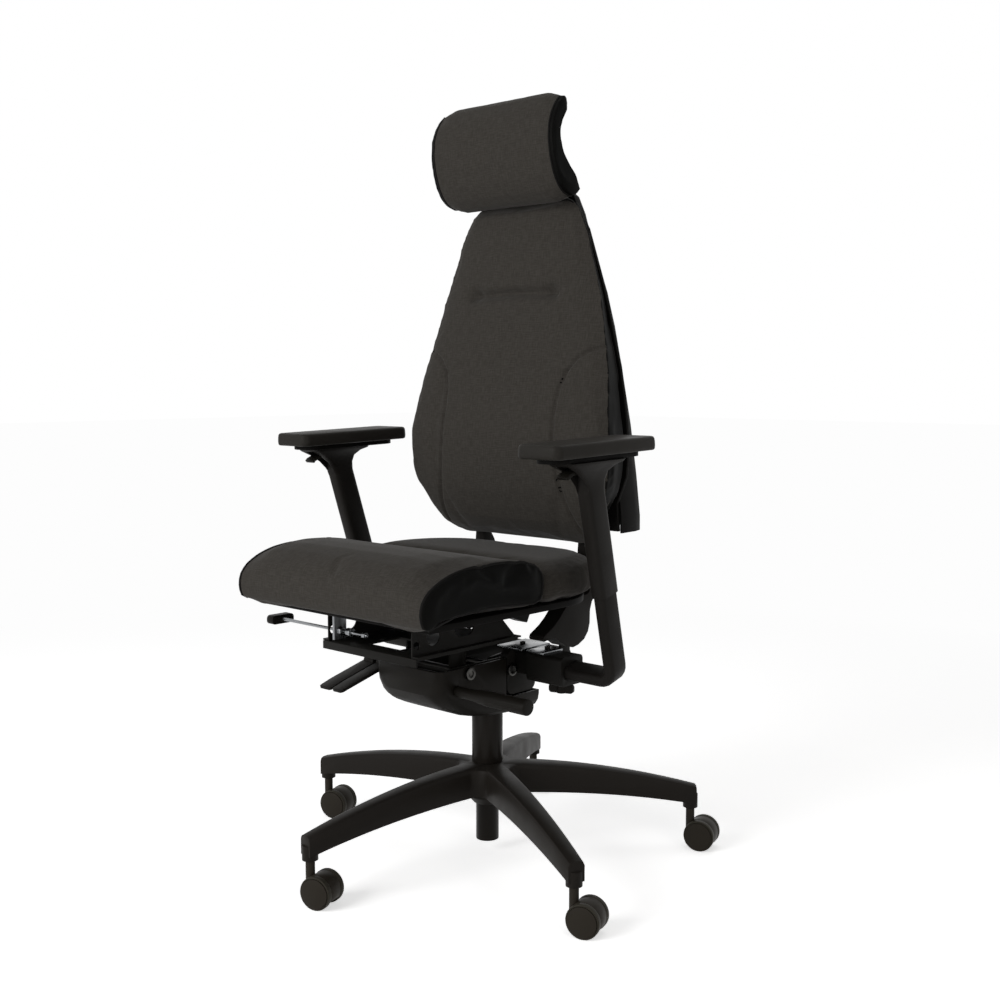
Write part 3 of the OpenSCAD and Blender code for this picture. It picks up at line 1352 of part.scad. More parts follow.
back_cushion();
headrest_post();
headrest_shell();
headrest_cushion();
arm_bracket();  // arm_bracket_left
arm_sleeve();  // arm_sleeve_left
arm_trigger();  // arm_trigger_left
arm_plate();  // arm_plate_left
arm_pad();  // arm_pad_left
arm_knob();  // arm_knob_left
mirror([1, 0, 0]) arm_bracket();  // arm_bracket_right
mirror([1, 0, 0]) arm_sleeve();  // arm_sleeve_right
mirror([1, 0, 0]) arm_trigger();  // arm_trigger_right
mirror([1, 0, 0]) arm_plate();  // arm_plate_right
mirror([1, 0, 0]) arm_pad();  // arm_pad_right
mirror([1, 0, 0]) arm_knob();  // arm_knob_right
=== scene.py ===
# %% [markdown]
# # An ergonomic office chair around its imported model
# The chair is already built as rigid parts, at its real size and with its joints. This lesson
# dresses it: moulded and powder coated parts get soft edges and surface grain, the cushions become
# upholstery blown up by a cloth simulation, and a plain studio shows it from the photograph's side.
# Everything is in metres, with the floor at zero and the sitter facing minus Y.

# %% Load the frame
import json
import math

import bpy
import numpy as np
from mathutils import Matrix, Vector


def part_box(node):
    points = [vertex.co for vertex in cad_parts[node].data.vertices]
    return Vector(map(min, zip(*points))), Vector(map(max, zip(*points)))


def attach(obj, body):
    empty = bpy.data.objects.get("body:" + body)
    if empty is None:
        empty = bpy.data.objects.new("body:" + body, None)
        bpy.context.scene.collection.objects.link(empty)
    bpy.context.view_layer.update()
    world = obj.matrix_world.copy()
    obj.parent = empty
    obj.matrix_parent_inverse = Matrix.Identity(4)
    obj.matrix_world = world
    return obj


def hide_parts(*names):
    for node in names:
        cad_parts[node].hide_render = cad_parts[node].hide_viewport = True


MM = 0.001

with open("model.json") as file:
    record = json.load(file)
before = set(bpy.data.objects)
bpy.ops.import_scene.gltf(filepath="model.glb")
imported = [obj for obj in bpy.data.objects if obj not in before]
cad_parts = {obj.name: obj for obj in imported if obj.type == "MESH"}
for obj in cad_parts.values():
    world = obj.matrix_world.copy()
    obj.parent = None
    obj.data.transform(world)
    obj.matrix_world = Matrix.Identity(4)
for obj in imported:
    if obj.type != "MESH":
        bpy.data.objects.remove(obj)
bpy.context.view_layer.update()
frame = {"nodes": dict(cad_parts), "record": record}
nodes = frame["nodes"]
record = frame["record"]
body_of_node = {node: body for body, names in record["behaviour"]["bodies"].items()
                for node in names}


# %% [markdown]
# ## Selecting and shaping
# An operator works on whatever is selected, and loading leaves every node selected. So each step
# starts by selecting one object alone. A finished piece has its place in its mesh and its object at
# the origin, so a copy of a node is made there and stays there, and only its points are moved.


# %% Small helpers for objects
DOUBLES_MM = 0.01


def select_only(obj):
    """Selects one object and makes it the active one."""
    bpy.ops.object.select_all(action="DESELECT")
    obj.select_set(True)
    bpy.context.view_layer.objects.active = obj


def apply_modifiers(obj):
    """Turns every modifier of an object into mesh."""
    select_only(obj)
    for modifier in list(obj.modifiers):
        bpy.ops.object.modifier_apply(modifier=modifier.name)


def copy_of(node, name):
    """A separate copy of a node's mesh, with its loose triangles merged."""
    piece = bpy.data.objects.new(name, nodes[node].data.copy())
    bpy.context.scene.collection.objects.link(piece)
    piece.data.materials.clear()
    select_only(piece)
    bpy.ops.object.mode_set(mode="EDIT")
    bpy.ops.mesh.select_all(action="SELECT")
    bpy.ops.mesh.remove_doubles(threshold=DOUBLES_MM * MM)
    bpy.ops.object.mode_set(mode="OBJECT")
    return piece


def hand_over(piece, node, material=None):
    """Lets a piece stand for a node, hiding the node and moving with the node's body."""
    if material:
        piece.data.materials.append(material)
    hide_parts(node)
    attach(piece, body_of_node[node])


def smooth(piece, angle=35):
    """Shades a piece smooth, but keeps the edges that are sharper than an angle in degrees."""
    select_only(piece)
    bpy.ops.object.shade_smooth_by_angle(angle=math.radians(angle))


# %% [markdown]
# ## The camera
# The picture was taken with a lens of about 46 mm on a 36 mm sensor, from 2 m in front and to the
# sitter's left, at 769 mm above the floor and tipped down by 5 degrees. Those values came from the
# base: five castors on one circle fix the view once the circle's size is known. A camera could also
# be set by eye, but then every piece would be shaped to a wrong view.

# %% Camera
CAMERA_PLACE = (1.394, -1.488, 0.769)
CAMERA_TURN = 42.555  # degrees round the vertical
CAMERA_TIP = 5.4  # degrees below level
LENS_MM = 46.2
SENSOR_MM = 36

bpy.ops.object.camera_add(location=CAMERA_PLACE,
                          rotation=(math.radians(90 - CAMERA_TIP), 0, math.radians(CAMERA_TURN)))
camera = bpy.context.object
camera.data.lens = LENS_MM
camera.data.sensor_width = SENSOR_MM
bpy.context.scene.camera = camera
print("camera", [round(v, 3) for v in camera.location], "lens", camera.data.lens)

# %% [markdown]
# ## Shader nodes
# A material or a world is a tree of nodes, which are usually placed and linked by hand. One small
# function adds a node with its settings and its links, so the same tree reads as a few lines. A
# colour is written as it looks on screen, and one function turns it to the linear values that
# Blender works in.


# %% Node helper and colours
def add_node(tree, kind, links=None, **settings):
    """Adds one shader node. Settings name its attributes or inputs, and links feed its inputs."""
    node = tree.nodes.new(kind)
    for key, value in settings.items():
        if hasattr(node, key):
            setattr(node, key, value)
        else:
            node.inputs[key.replace("_", " ")].default_value = value
    for socket, source in (links or {}).items():
        tree.links.new(source, node.inputs[socket])
    return node


def linear(hex_colour):
    """Turns an sRGB hex colour to linear red, green and blue, and adds a full alpha."""
    parts = [int(hex_colour[i:i + 2], 16) / 255 for i in (1, 3, 5)]
    return [c / 12.92 if c <= 0.04045 else ((c + 0.055) / 1.055) ** 2.4 for c in parts] + [1.0]


def seen_as_white(tree):
    """1 where a ray comes from the camera, a mirror or glass, and 0 where it only lights."""
    path = add_node(tree, "ShaderNodeLightPath").outputs
    seen = add_node(tree, "ShaderNodeMath", {0: path["Is Camera Ray"], 1: path["Is Glossy Ray"]},
                    operation="MAXIMUM")
    seen = add_node(tree, "ShaderNodeMath", {0: seen.outputs[0], 1: path["Is Transmission Ray"]},
                    operation="MAXIMUM")
    return seen.outputs[0]


# %% [markdown]
# ## The world
# The chair stands in white space. A world bright enough to look white would also flood the chair
# with light and wash out its blacks. So the world is white to the camera and in reflections, and
# far dimmer where it only lights.

# %% World
FILL_STRENGTH = 0.19
WHITE_STRENGTH = 1.0

world = bpy.data.worlds.new("studio")
bpy.context.scene.world = world
world.use_nodes = True
tree = world.node_tree
tree.nodes.clear()
fill = add_node(tree, "ShaderNodeBackground", Color=linear("#ffffff"), Strength=FILL_STRENGTH)
white = add_node(tree, "ShaderNodeBackground", Color=linear("#ffffff"), Strength=WHITE_STRENGTH)
mixed = add_node(tree, "ShaderNodeMixShader",
                 {0: seen_as_white(tree), 1: fill.outputs[0], 2: white.outputs[0]})
add_node(tree, "ShaderNodeOutputWorld", {0: mixed.outputs[0]})
bpy.context.scene.view_settings.view_transform = "Standard"
print("world", world.name, "fill", FILL_STRENGTH)

# %% [markdown]
# ## The floor
# The real floor is a sheet of white paper that curves up behind the chair. A flat plane does as
# well here, because away from the chair it fades into the white of the world. Near the chair it is
# still paper, lifted towards white only where the camera sees it, so the shadow stays on it.

# %% Floor
FLOOR_SIZE = 40
PAPER = "#e8e8e8"
SEEN_GAIN = 3.2  # how much brighter than white the camera sees the paper, so that it looks white
FADE_FROM, FADE_TO = 1.0, 2.4  # metres from the chair
FADE_LOW, FADE_HIGH = 0.55, 1.0  # share of plain white at those distances

bpy.ops.mesh.primitive_plane_add(size=FLOOR_SIZE, location=(0, 0, 0))
floor = bpy.context.object
floor.name = "studio_floor"
floor_paint = bpy.data.materials.new("white paper sweep")
floor_paint.use_nodes = True
tree = floor_paint.node_tree
tree.nodes.clear()
ray = seen_as_white(tree)
place = add_node(tree, "ShaderNodeTexCoord").outputs["Object"]
away = add_node(tree, "ShaderNodeVectorMath", {0: place}, operation="LENGTH").outputs["Value"]
far = add_node(tree, "ShaderNodeMapRange", {"Value": away}, From_Min=FADE_FROM, From_Max=FADE_TO,
               To_Min=FADE_LOW, To_Max=FADE_HIGH)
share = add_node(tree, "ShaderNodeMath", {0: ray, 1: far.outputs[0]}, operation="MULTIPLY")
tone = add_node(tree, "ShaderNodeMix", {"Factor": ray}, data_type="RGBA")
tone.inputs["A"].default_value = linear(PAPER)
tone.inputs["B"].default_value = [SEEN_GAIN] * 3 + [1]
paper = add_node(tree, "ShaderNodeBsdfDiffuse", {"Color": tone.outputs["Result"]})
lift = add_node(tree, "ShaderNodeEmission", Color=linear("#fdfdfd"), Strength=1.0)
mixed = add_node(tree, "ShaderNodeMixShader",
                 {0: share.outputs[0], 1: paper.outputs[0], 2: lift.outputs[0]})
add_node(tree, "ShaderNodeOutputMaterial", {0: mixed.outputs[0]})
floor.data.materials.append(floor_paint)
print("floor", floor.name, FLOOR_SIZE, "m wide")

# %% [markdown]
# ## The lamps
# The photograph has broad soft highlights along the sitter's front, so the main light is a large
# softbox in front. A small warm one on the near side keeps the edges of the black parts apart, and
# one above and behind lights the tops. An area lamp is a softbox: the larger it is, the softer its
# shadow. Small hard lamps would give sharp glints that the picture doesn't have.

# %% Lamps
# Place and size are in metres, and power in watts.
LAMPS = {
    "key": ((-0.6, -3.3, 1.5), 2.0, 64, "#ffffff"),
    "side": ((3.1, -1.2, 1.2), 1.4, 12, "#fffaf4"),
    "top": ((0.2, 0.9, 3.1), 1.8, 7, "#ffffff"),
}
LAMP_TARGET = Vector((0, 0, 0.6))

for name, (place, size, watts, colour) in LAMPS.items():
    aim = LAMP_TARGET - Vector(place)
    bpy.ops.object.light_add(type="AREA", location=place,
                             rotation=aim.to_track_quat("-Z", "Y").to_euler())
    lamp = bpy.context.object
    lamp.name = name + "_softbox"
    lamp.data.size = size
    lamp.data.energy = watts
    lamp.data.color = linear(colour)[:3]
print("lamps", list(LAMPS))

# %% [markdown]
# ## How a hard surface is made up
# Moulded plastic, powder coat and plated steel are one kind of surface with other numbers: a
# colour, a gloss and a fine grain. A flat colour would look like a drawing, and a picture of a
# surface would repeat. So the grain is noise in its real size, which only tilts the light, and the
# gloss drifts slowly from place to place, as moulds and hands leave it. The coordinates are divided
# by the size of one grain, so a scale of 1 means that size.


# %% Material helpers
GLOSS_PATCH_MM = 45
GRAIN_BUMP = 0.6
METAL_SPECULAR = 0.5  # the default, which a metal keeps


def new_material(name):
    """An empty node material and its tree."""
    material = bpy.data.materials.new(name)
    material.use_nodes = True
    material.node_tree.nodes.clear()
    return material, material.node_tree


def pattern_place(tree, size_mm, source="Object", stretch=(1, 1, 1)):
    """Coordinates in which one unit is the given size, stretched along each axis where asked."""
    place = add_node(tree, "ShaderNodeTexCoord").outputs[source]
    mapping = add_node(tree, "ShaderNodeMapping", {"Vector": place})
    mapping.inputs["Scale"].default_value = [1 / (size_mm * MM * s) for s in stretch]
    return mapping.outputs[0]


def varied(tree, size_mm, low, high):
    """A value that drifts between two numbers over patches of the given size."""
    noise = add_node(tree, "ShaderNodeTexNoise", {"Vector": pattern_place(tree, size_mm)},
                     Scale=1.0, Detail=4.0)
    spread = add_node(tree, "ShaderNodeMapRange", {"Value": noise.outputs[0]},
                      From_Min=0.3, From_Max=0.7, To_Min=low, To_Max=high)
    return spread.outputs[0]


def finished(tree, shader):
    """Joins the shader to the material's output."""
    add_node(tree, "ShaderNodeOutputMaterial", {0: shader.outputs[0]})


def solid_material(name, colour, gloss, grain_mm, depth_mm, metallic=0.0, shine=0.07):
    """Plastic, rubber, paint or metal. Gloss is the lowest and highest roughness."""
    material, tree = new_material(name)
    grain = add_node(tree, "ShaderNodeTexNoise", {"Vector": pattern_place(tree, grain_mm)},
                     Scale=1.0, Detail=2.0)
    bump = add_node(tree, "ShaderNodeBump", {"Height": grain.outputs[0]},
                    Strength=GRAIN_BUMP, Distance=depth_mm * MM)
    links = {"Normal": bump.outputs[0], "Roughness": varied(tree, GLOSS_PATCH_MM, *gloss)}
    shader = add_node(tree, "ShaderNodeBsdfPrincipled", links, Base_Color=linear(colour),
                      Metallic=metallic,
                      Specular_IOR_Level=METAL_SPECULAR if metallic else shine)
    finished(tree, shader)
    return material


# %% [markdown]
# ## Plastics and rubber
# Most of the chair is moulded. A mould for a hidden or hard-worn part is left fine, and one for a
# shell is etched so that scratches don't show. The etching is what makes one black plastic look
# deeper than another. All are dark browns and greys rather than pure black, as carbon in a plastic
# is, and each has its own number for gloss and grain instead of one black for all.

# %% Plastics and rubber
# Injection moulded with glass fibre: the fibres dull the skin to a soft, slightly warm sheen.
nylon = solid_material("glass filled nylon", "#211e1b",
                       gloss=(0.38, 0.5), grain_mm=0.5, depth_mm=0.05)
# Moulded in an etched tool: a deep matt black with a leathery grain that shows only near edges.
shell_plastic = solid_material("grained polypropylene", "#0f0e0d",
                               gloss=(0.48, 0.6), grain_mm=0.9, depth_mm=0.09, shine=0.04)
# Moulded in a lightly blasted tool: an even satin that holds a broad highlight on the covers.
cover_plastic = solid_material("moulded polypropylene cover", "#171512",
                               gloss=(0.4, 0.52), grain_mm=0.7, depth_mm=0.06)
# Moulded in a smooth tool: a little paler and shinier, and scuffed by the floor.
wheel_nylon = solid_material("moulded nylon wheel", "#2f2b25",
                             gloss=(0.34, 0.46), grain_mm=0.6, depth_mm=0.03)
# Cast on to the wheel: smooth and slightly waxy, the palest of the blacks.
tread_rubber = solid_material("polyurethane tread", "#3a3730",
                              gloss=(0.38, 0.5), grain_mm=0.5, depth_mm=0.02)
# Foamed in a closed mould, which leaves a soft skin with a dull glow instead of a highlight.
soft_pad = solid_material("soft polyurethane pad", "#2b2926",
                          gloss=(0.45, 0.55), grain_mm=0.6, depth_mm=0.06)
# Turned or moulded to run against steel: smooth, dense and a little greasy.
guide_plastic = solid_material("acetal bush", "#2a2928",
                               gloss=(0.35, 0.45), grain_mm=0.5, depth_mm=0.02)
print("plastics", [material.name for material in bpy.data.materials][-7:])

# %% [markdown]
# ## Paint, plating and bare steel
# Steel and aluminium are coated against rust. Wet paint flows out smooth, powder melts into a fine
# pebble, and zinc keeps the brightness of metal behind a thin haze. A coated part could be drawn as
# metal under a varnish, but a black coat hides its metal fully, so only plated and bare steel are
# metallic here.

# %% Paint, plating and bare steel
# Sprayed wet and stoved: it flows out, so its highlight is the sharpest of the painted parts.
satin_black = solid_material("satin black paint on steel", "#1e1b18",
                             gloss=(0.28, 0.38), grain_mm=0.6, depth_mm=0.02)
# Powder melted on to steel: a fine orange peel that breaks the highlight up.
powder_coat = solid_material("black powder coat on steel", "#191816",
                             gloss=(0.42, 0.55), grain_mm=0.7, depth_mm=0.06)
# Textured powder on the cast arms: the same peel, a shade warmer and a little finer.
arm_coat = solid_material("textured powder coat on aluminium", "#1d1b19",
                          gloss=(0.42, 0.55), grain_mm=0.6, depth_mm=0.06)
# Electroplated zinc: a cool grey mirror behind a faint haze.
zinc = solid_material("zinc plated steel", "#86888a",
                      gloss=(0.2, 0.36), grain_mm=1.5, depth_mm=0.01, metallic=1.0)
# Ground to size: the brightest metal of the chair, with almost no grain left.
bright_steel = solid_material("ground steel", "#b4b6b8",
                              gloss=(0.12, 0.22), grain_mm=3.0, depth_mm=0.004, metallic=1.0)
# Dipped hot in oil: a dark, even brown-grey that still shines as metal does.
blacked_steel = solid_material("oil blacked steel", "#4a4947",
                               gloss=(0.26, 0.4), grain_mm=2.0, depth_mm=0.006, metallic=1.0)
# Drawn and tempered wire under a film of oil: dark, with a wet highlight along each coil.
spring_steel = solid_material("oiled spring steel", "#4c4b4a",
                              gloss=(0.25, 0.4), grain_mm=1.0, depth_mm=0.01, metallic=1.0)
print("coats and metals", [material.name for material in bpy.data.materials][-7:])

# %% [markdown]
# ## Vinyl and cloth
# The sides and the rear of the cushions are black vinyl, and the panels that touch the sitter are a
# plain weave of charcoal polyester. A weave could be a picture, but it would blur from near and
# repeat from afar. Here two waves at right angles stand for warp and weft, and a noise stretched
# along each of them for the thick and thin places of the yarn. The pattern follows the piece's own
# UV map, so that it bends with the cushion.


# %% Vinyl and cloth
# At this scale a wave repeats after about two threads: one that goes over and one under.
THREAD_WAVE = 0.159
WAVE_WOBBLE = 0.6
SLUB_MM = 1.6
SLUB_STRETCH = 9
SLUB_LOW, SLUB_HIGH = 0.82, 1.2
WEAVE_BUMP = 0.5
WEAVE_DEPTH_MM = 0.25


def woven_material(name, yarn, slub, thread_mm):
    """Plain weave in two near colours of yarn, read from the piece's own flattened coordinates."""
    material, tree = new_material(name)
    flat = pattern_place(tree, thread_mm, "UV")
    warp, weft = (add_node(tree, "ShaderNodeTexWave", {"Vector": flat}, Scale=THREAD_WAVE,
                           Distortion=WAVE_WOBBLE, bands_direction=axis) for axis in "XY")
    cloth = add_node(tree, "ShaderNodeMath", {0: warp.outputs["Fac"], 1: weft.outputs["Fac"]},
                     operation="MULTIPLY")
    along, across = (add_node(tree, "ShaderNodeTexNoise",
                              {"Vector": pattern_place(tree, SLUB_MM, "UV", stretch)},
                              Scale=1.0, Detail=2.0)
                     for stretch in ((1, SLUB_STRETCH, 1), (SLUB_STRETCH, 1, 1)))
    slubs = add_node(tree, "ShaderNodeMath", {0: along.outputs[0], 1: across.outputs[0]},
                     operation="ADD")
    spread = add_node(tree, "ShaderNodeMapRange", {"Value": slubs.outputs[0]},
                      From_Min=SLUB_LOW, From_Max=SLUB_HIGH)
    tint = add_node(tree, "ShaderNodeMix", {"Factor": spread.outputs[0]}, data_type="RGBA")
    tint.inputs["A"].default_value = linear(yarn)
    tint.inputs["B"].default_value = linear(slub)
    height = add_node(tree, "ShaderNodeMath", {0: cloth.outputs[0], 1: slubs.outputs[0]},
                      operation="ADD")
    bump = add_node(tree, "ShaderNodeBump", {"Height": height.outputs[0]},
                    Strength=WEAVE_BUMP, Distance=WEAVE_DEPTH_MM * MM)
    links = {"Base Color": tint.outputs["Result"], "Normal": bump.outputs[0]}
    shader = add_node(tree, "ShaderNodeBsdfPrincipled", links, Roughness=0.9, Sheen_Weight=0.12,
                      Sheen_Roughness=0.4, Specular_IOR_Level=0.06)
    finished(tree, shader)
    return material


# Calendered over cloth with an embossing roller: near black, matt, with a small leather grain.
vinyl = solid_material("black vinyl", "#0c0c0b",
                       gloss=(0.4, 0.52), grain_mm=1.1, depth_mm=0.1, shine=0.03)
# The same vinyl rolled tight round a string: duller, because the grain is stretched.
piping = solid_material("black piping cord", "#0f0e0d",
                        gloss=(0.5, 0.62), grain_mm=0.8, depth_mm=0.08)
# Woven from slightly uneven yarn: matt, with a soft fleck and no highlight. The real thread is
# thinner, and is drawn at 1.3 mm, because a finer weave doesn't show in the picture.
fabric = woven_material("charcoal woven polyester", "#3c3935", "#45423e", thread_mm=1.3)
print("materials", len(bpy.data.materials))

# %% [markdown]
# ## Rigid parts
# A CAD part has knife-sharp edges, and a real one never does. The edges could be rounded one by one
# in edit mode, but a Bevel modifier limited by angle finds them all. So each rigid part is copied,
# its flat faces are merged, and a small bevel breaks its edges so that they catch the light. The
# width is the radius that the process leaves: large on a moulded base, small on sheet steel.


# %% Bevel the rigid parts
FLAT_ANGLE = 0.5  # degrees, below which two faces count as one
EDGE_ANGLE = 38  # degrees, above which an edge is broken


def rounded_copy(node, material, width_mm, steps):
    """A bevelled copy that stands for one rigid node."""
    piece = copy_of(node, node + "_finish")
    bpy.ops.object.mode_set(mode="EDIT")
    bpy.ops.mesh.select_all(action="SELECT")
    bpy.ops.mesh.dissolve_limited(angle_limit=math.radians(FLAT_ANGLE))
    bpy.ops.object.mode_set(mode="OBJECT")
    bevel = piece.modifiers.new("edge", "BEVEL")
    bevel.width = width_mm * MM
    bevel.segments = steps
    bevel.limit_method = "ANGLE"
    bevel.angle_limit = math.radians(EDGE_ANGLE)
    apply_modifiers(piece)
    smooth(piece)
    hand_over(piece, node, material)
    return piece


# Each node with its material, the width of its edges in mm and the steps across an edge.
RIGID = {
    "star_base": (nylon, 1.6, 3),
    "column_tube": (satin_black, 0.8, 2),
    "column_bush": (guide_plastic, 0.4, 2),
    "thrust_bearing": (bright_steel, 0.3, 2),
    "piston_rod": (bright_steel, 0.4, 2),
    "gas_cylinder": (satin_black, 0.6, 2),
    "mechanism_housing": (powder_coat, 0.5, 2),
    "mechanism_cover": (cover_plastic, 1.2, 3),
    "pivot_shafts": (blacked_steel, 0.3, 2),
    "tension_spring": (spring_steel, 0.2, 1),
    "arm_clamps": (powder_coat, 0.6, 2),
    "bracket_plates": (zinc, 0.3, 2),
    "bracket_bolts": (satin_black, 0.4, 2),
    "tension_handle": (cover_plastic, 1.5, 3),
    "lift_lever": (cover_plastic, 0.8, 2),
    "tilt_lever": (cover_plastic, 0.8, 2),
    "seat_carrier": (powder_coat, 0.4, 2),
    "adjuster_rod": (zinc, 0.5, 2),
    "depth_latch": (zinc, 0.4, 2),
    "seat_side_plates": (powder_coat, 0.4, 2),
    "seat_board": (shell_plastic, 1.2, 2),
    "back_arm_left": (arm_coat, 1.4, 3),
    "back_arm_right": (arm_coat, 1.4, 3),
    "back_cross": (powder_coat, 0.6, 2),
    "back_board": (shell_plastic, 0.8, 2),
    "back_shell": (shell_plastic, 1.2, 3),
    "headrest_post": (powder_coat, 0.6, 2),
    "headrest_shell": (shell_plastic, 0.8, 2),
}
for number in range(1, 6):
    RIGID[f"caster_hood_{number}"] = (wheel_nylon, 0.8, 2)
    RIGID[f"caster_wheels_{number}"] = (wheel_nylon, 0.8, 2)
    RIGID[f"caster_treads_{number}"] = (tread_rubber, 1.2, 3)
for side in ("left", "right"):
    RIGID[f"arm_bracket_{side}"] = (arm_coat, 0.6, 2)
    RIGID[f"arm_sleeve_{side}"] = (arm_coat, 0.6, 2)
    RIGID[f"arm_trigger_{side}"] = (cover_plastic, 0.7, 2)
    RIGID[f"arm_plate_{side}"] = (shell_plastic, 0.8, 2)
    RIGID[f"arm_pad_{side}"] = (soft_pad, 0.8, 2)
    RIGID[f"arm_knob_{side}"] = (cover_plastic, 0.7, 2)

rigid = {node: rounded_copy(node, *values) for node, values in RIGID.items()}
print("rigid pieces", len(rigid), "faces",
      sum(len(piece.data.polygons) for piece in rigid.values()))

# %% [markdown]
# ## Two materials on one piece
# The adjuster's thin rod is plated steel and the knob on its end is plastic. They are one node,
# because they turn together. The knob could be split off, but a mesh may hold several materials,
# so its faces are told apart by their place alone. The cushions use the same helper for their
# vinyl sides.


# %% A second material by place
ADJUSTER_KNOB_X = -205 * MM


def repaint(piece, material, test):
    """Gives a second material to the faces whose centre and normal pass the test."""
    piece.data.materials.append(material)
    for face in piece.data.polygons:
        if test(face.center, face.normal):
            face.material_index = len(piece.data.materials) - 1


repaint(rigid["adjuster_rod"], cover_plastic, lambda centre, normal: centre.x < ADJUSTER_KNOB_X)
print("adjuster_rod materials", [m.name for m in rigid["adjuster_rod"].data.materials])

# %% [markdown]
# ## Upholstery
# A cushion is foam that pushes its cover out until the seams hold it. It could be sculpted by hand,
# yet its crown and its drawn-in sides follow from the push, so the same thing is done here: a copy
# of the CAD form is remeshed evenly, shrunk a little, and blown up as cloth with a light pressure.
# A cap keeps each point near its start, as foam does. Points are handled as arrays, because a
# cushion has tens of thousands of them.


# %% Read and move points
def read_points(piece):
    """Places and normals of a piece's points, as arrays."""
    count = len(piece.data.vertices)
    places, normals = np.empty(3 * count), np.empty(3 * count)
    piece.data.vertices.foreach_get("co", places)
    piece.data.vertices.foreach_get("normal", normals)
    return places.reshape(-1, 3), normals.reshape(-1, 3)


def write_points(piece, places):
    """Puts a piece's points at new places."""
    piece.data.vertices.foreach_set("co", places.reshape(-1))
    piece.data.update()


def drawn_in(piece, distance_mm):
    """Moves each point inwards along its normal."""
    places, normals = read_points(piece)
    write_points(piece, places - normals * distance_mm * MM)


def fitted(piece, node):
    """Brings a swollen piece to the size of its node's box again."""
    low, high = (np.array(corner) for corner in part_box(node))
    places = read_points(piece)[0]
    own_low, own_high = places.min(axis=0), places.max(axis=0)
    write_points(piece, low + (places - own_low) * (high - low) / (own_high - own_low))


# %% [markdown]
# ### The simulation
# Cloth with pressure needs no pump or pins. It needs even faces, so that it swells evenly, and no
# gravity, because the foam under the cover carries it. Twenty frames are enough to fill it. The
# modifier is then applied, so that no simulation is left on the piece.


# %% Blow a piece up as cloth
FRAMES = 20
CLOTH_QUALITY = 6
CLOTH_MASS = 0.3
CLOTH_STIFFNESS = 30
CLOTH_BENDING = 2
TINY = 1e-9


def inflated(piece, pressure, cap_mm):
    """Blows a piece up as cloth, and caps how far each point moves."""
    start = read_points(piece)[0]
    cloth = piece.modifiers.new("cloth", "CLOTH")
    cloth.settings.quality = CLOTH_QUALITY
    cloth.settings.mass = CLOTH_MASS
    cloth.settings.use_pressure = True
    cloth.settings.uniform_pressure_force = pressure
    cloth.settings.tension_stiffness = CLOTH_STIFFNESS
    cloth.settings.compression_stiffness = CLOTH_STIFFNESS
    cloth.settings.bending_stiffness = CLOTH_BENDING
    cloth.settings.effector_weights.gravity = 0
    cloth.collision_settings.use_collision = False
    cloth.point_cache.frame_start = 1
    cloth.point_cache.frame_end = FRAMES
    for number in range(1, FRAMES + 1):
        bpy.context.scene.frame_set(number)
    apply_modifiers(piece)
    bpy.context.scene.frame_set(1)
    step = read_points(piece)[0] - start
    length = np.linalg.norm(step, axis=1)
    capped = np.minimum(1, cap_mm * MM / np.maximum(length, TINY))
    write_points(piece, start + step * capped[:, None])
    print(piece.name, "swelled by up to", round(float(length.max()) / MM, 1), "mm")


# %% [markdown]
# ### Hollow ends
# Seen from its end, the headrest's cushion is a crescent that is hollow at the rear. Its packed
# solid closes each end with a fan of faces that also covers the hollow. Moving the fan's points
# wouldn't open it, so the flat ends are deleted and filled again, each within its own outline.


# %% Close hollow ends again
END_MARGIN_MM = 0.1


def recapped(piece):
    """Closes the flat ends again, each only within its own hollow outline."""
    reach = max(abs(point.co.x) for point in piece.data.vertices) - END_MARGIN_MM * MM
    bpy.context.tool_settings.mesh_select_mode = (False, False, True)
    for face in piece.data.polygons:
        face.select = abs(face.center.x) > reach
    bpy.ops.object.mode_set(mode="EDIT")
    bpy.ops.mesh.delete(type="FACE")
    bpy.ops.mesh.select_all(action="SELECT")
    bpy.ops.mesh.fill_holes(sides=0)
    bpy.ops.mesh.select_all(action="SELECT")
    bpy.ops.mesh.normals_make_consistent(inside=False)
    bpy.ops.object.mode_set(mode="OBJECT")


# %% [markdown]
# ### From a plain solid to a cover
# The steps come in this order for a reason. Remeshing makes the faces even but leaves small stairs,
# a Smooth modifier takes those off, and only then is the cloth blown up. One level of subdivision
# comes last, because the simulation would be four times slower on it.


# %% Make a cushion's cover
RELAX_FACTOR = 0.5
RELAX_TURNS = 6
SOFT_ANGLE = 60  # degrees, above which an edge of a cover stays sharp


def cushion(node, voxel_mm, inset_mm, pressure, cap_mm, hollow_ends=False):
    """An upholstered copy of a soft node."""
    piece = copy_of(node, node + "_cover")
    if hollow_ends:
        recapped(piece)
    select_only(piece)
    piece.data.remesh_voxel_size = voxel_mm * MM
    bpy.ops.object.voxel_remesh()
    relax = piece.modifiers.new("relax", "SMOOTH")
    relax.factor = RELAX_FACTOR
    relax.iterations = RELAX_TURNS
    apply_modifiers(piece)
    drawn_in(piece, inset_mm)
    inflated(piece, pressure, cap_mm)
    fitted(piece, node)
    fine = piece.modifiers.new("fine", "SUBSURF")
    fine.levels = fine.render_levels = 1
    apply_modifiers(piece)
    return piece


# %% [markdown]
# ### Laying the weave
# A woven panel bends over the roll of a seat, and its threads bend with it. Projecting the weave
# from above would smear it where the cover turns down, and unwrapping it by hand leaves seams. A
# cushion has the same profile all along its width, so the map is simply X one way, and the length
# along the profile the other way.


# %% Flatten a cushion along its profile
FAR = 1e9


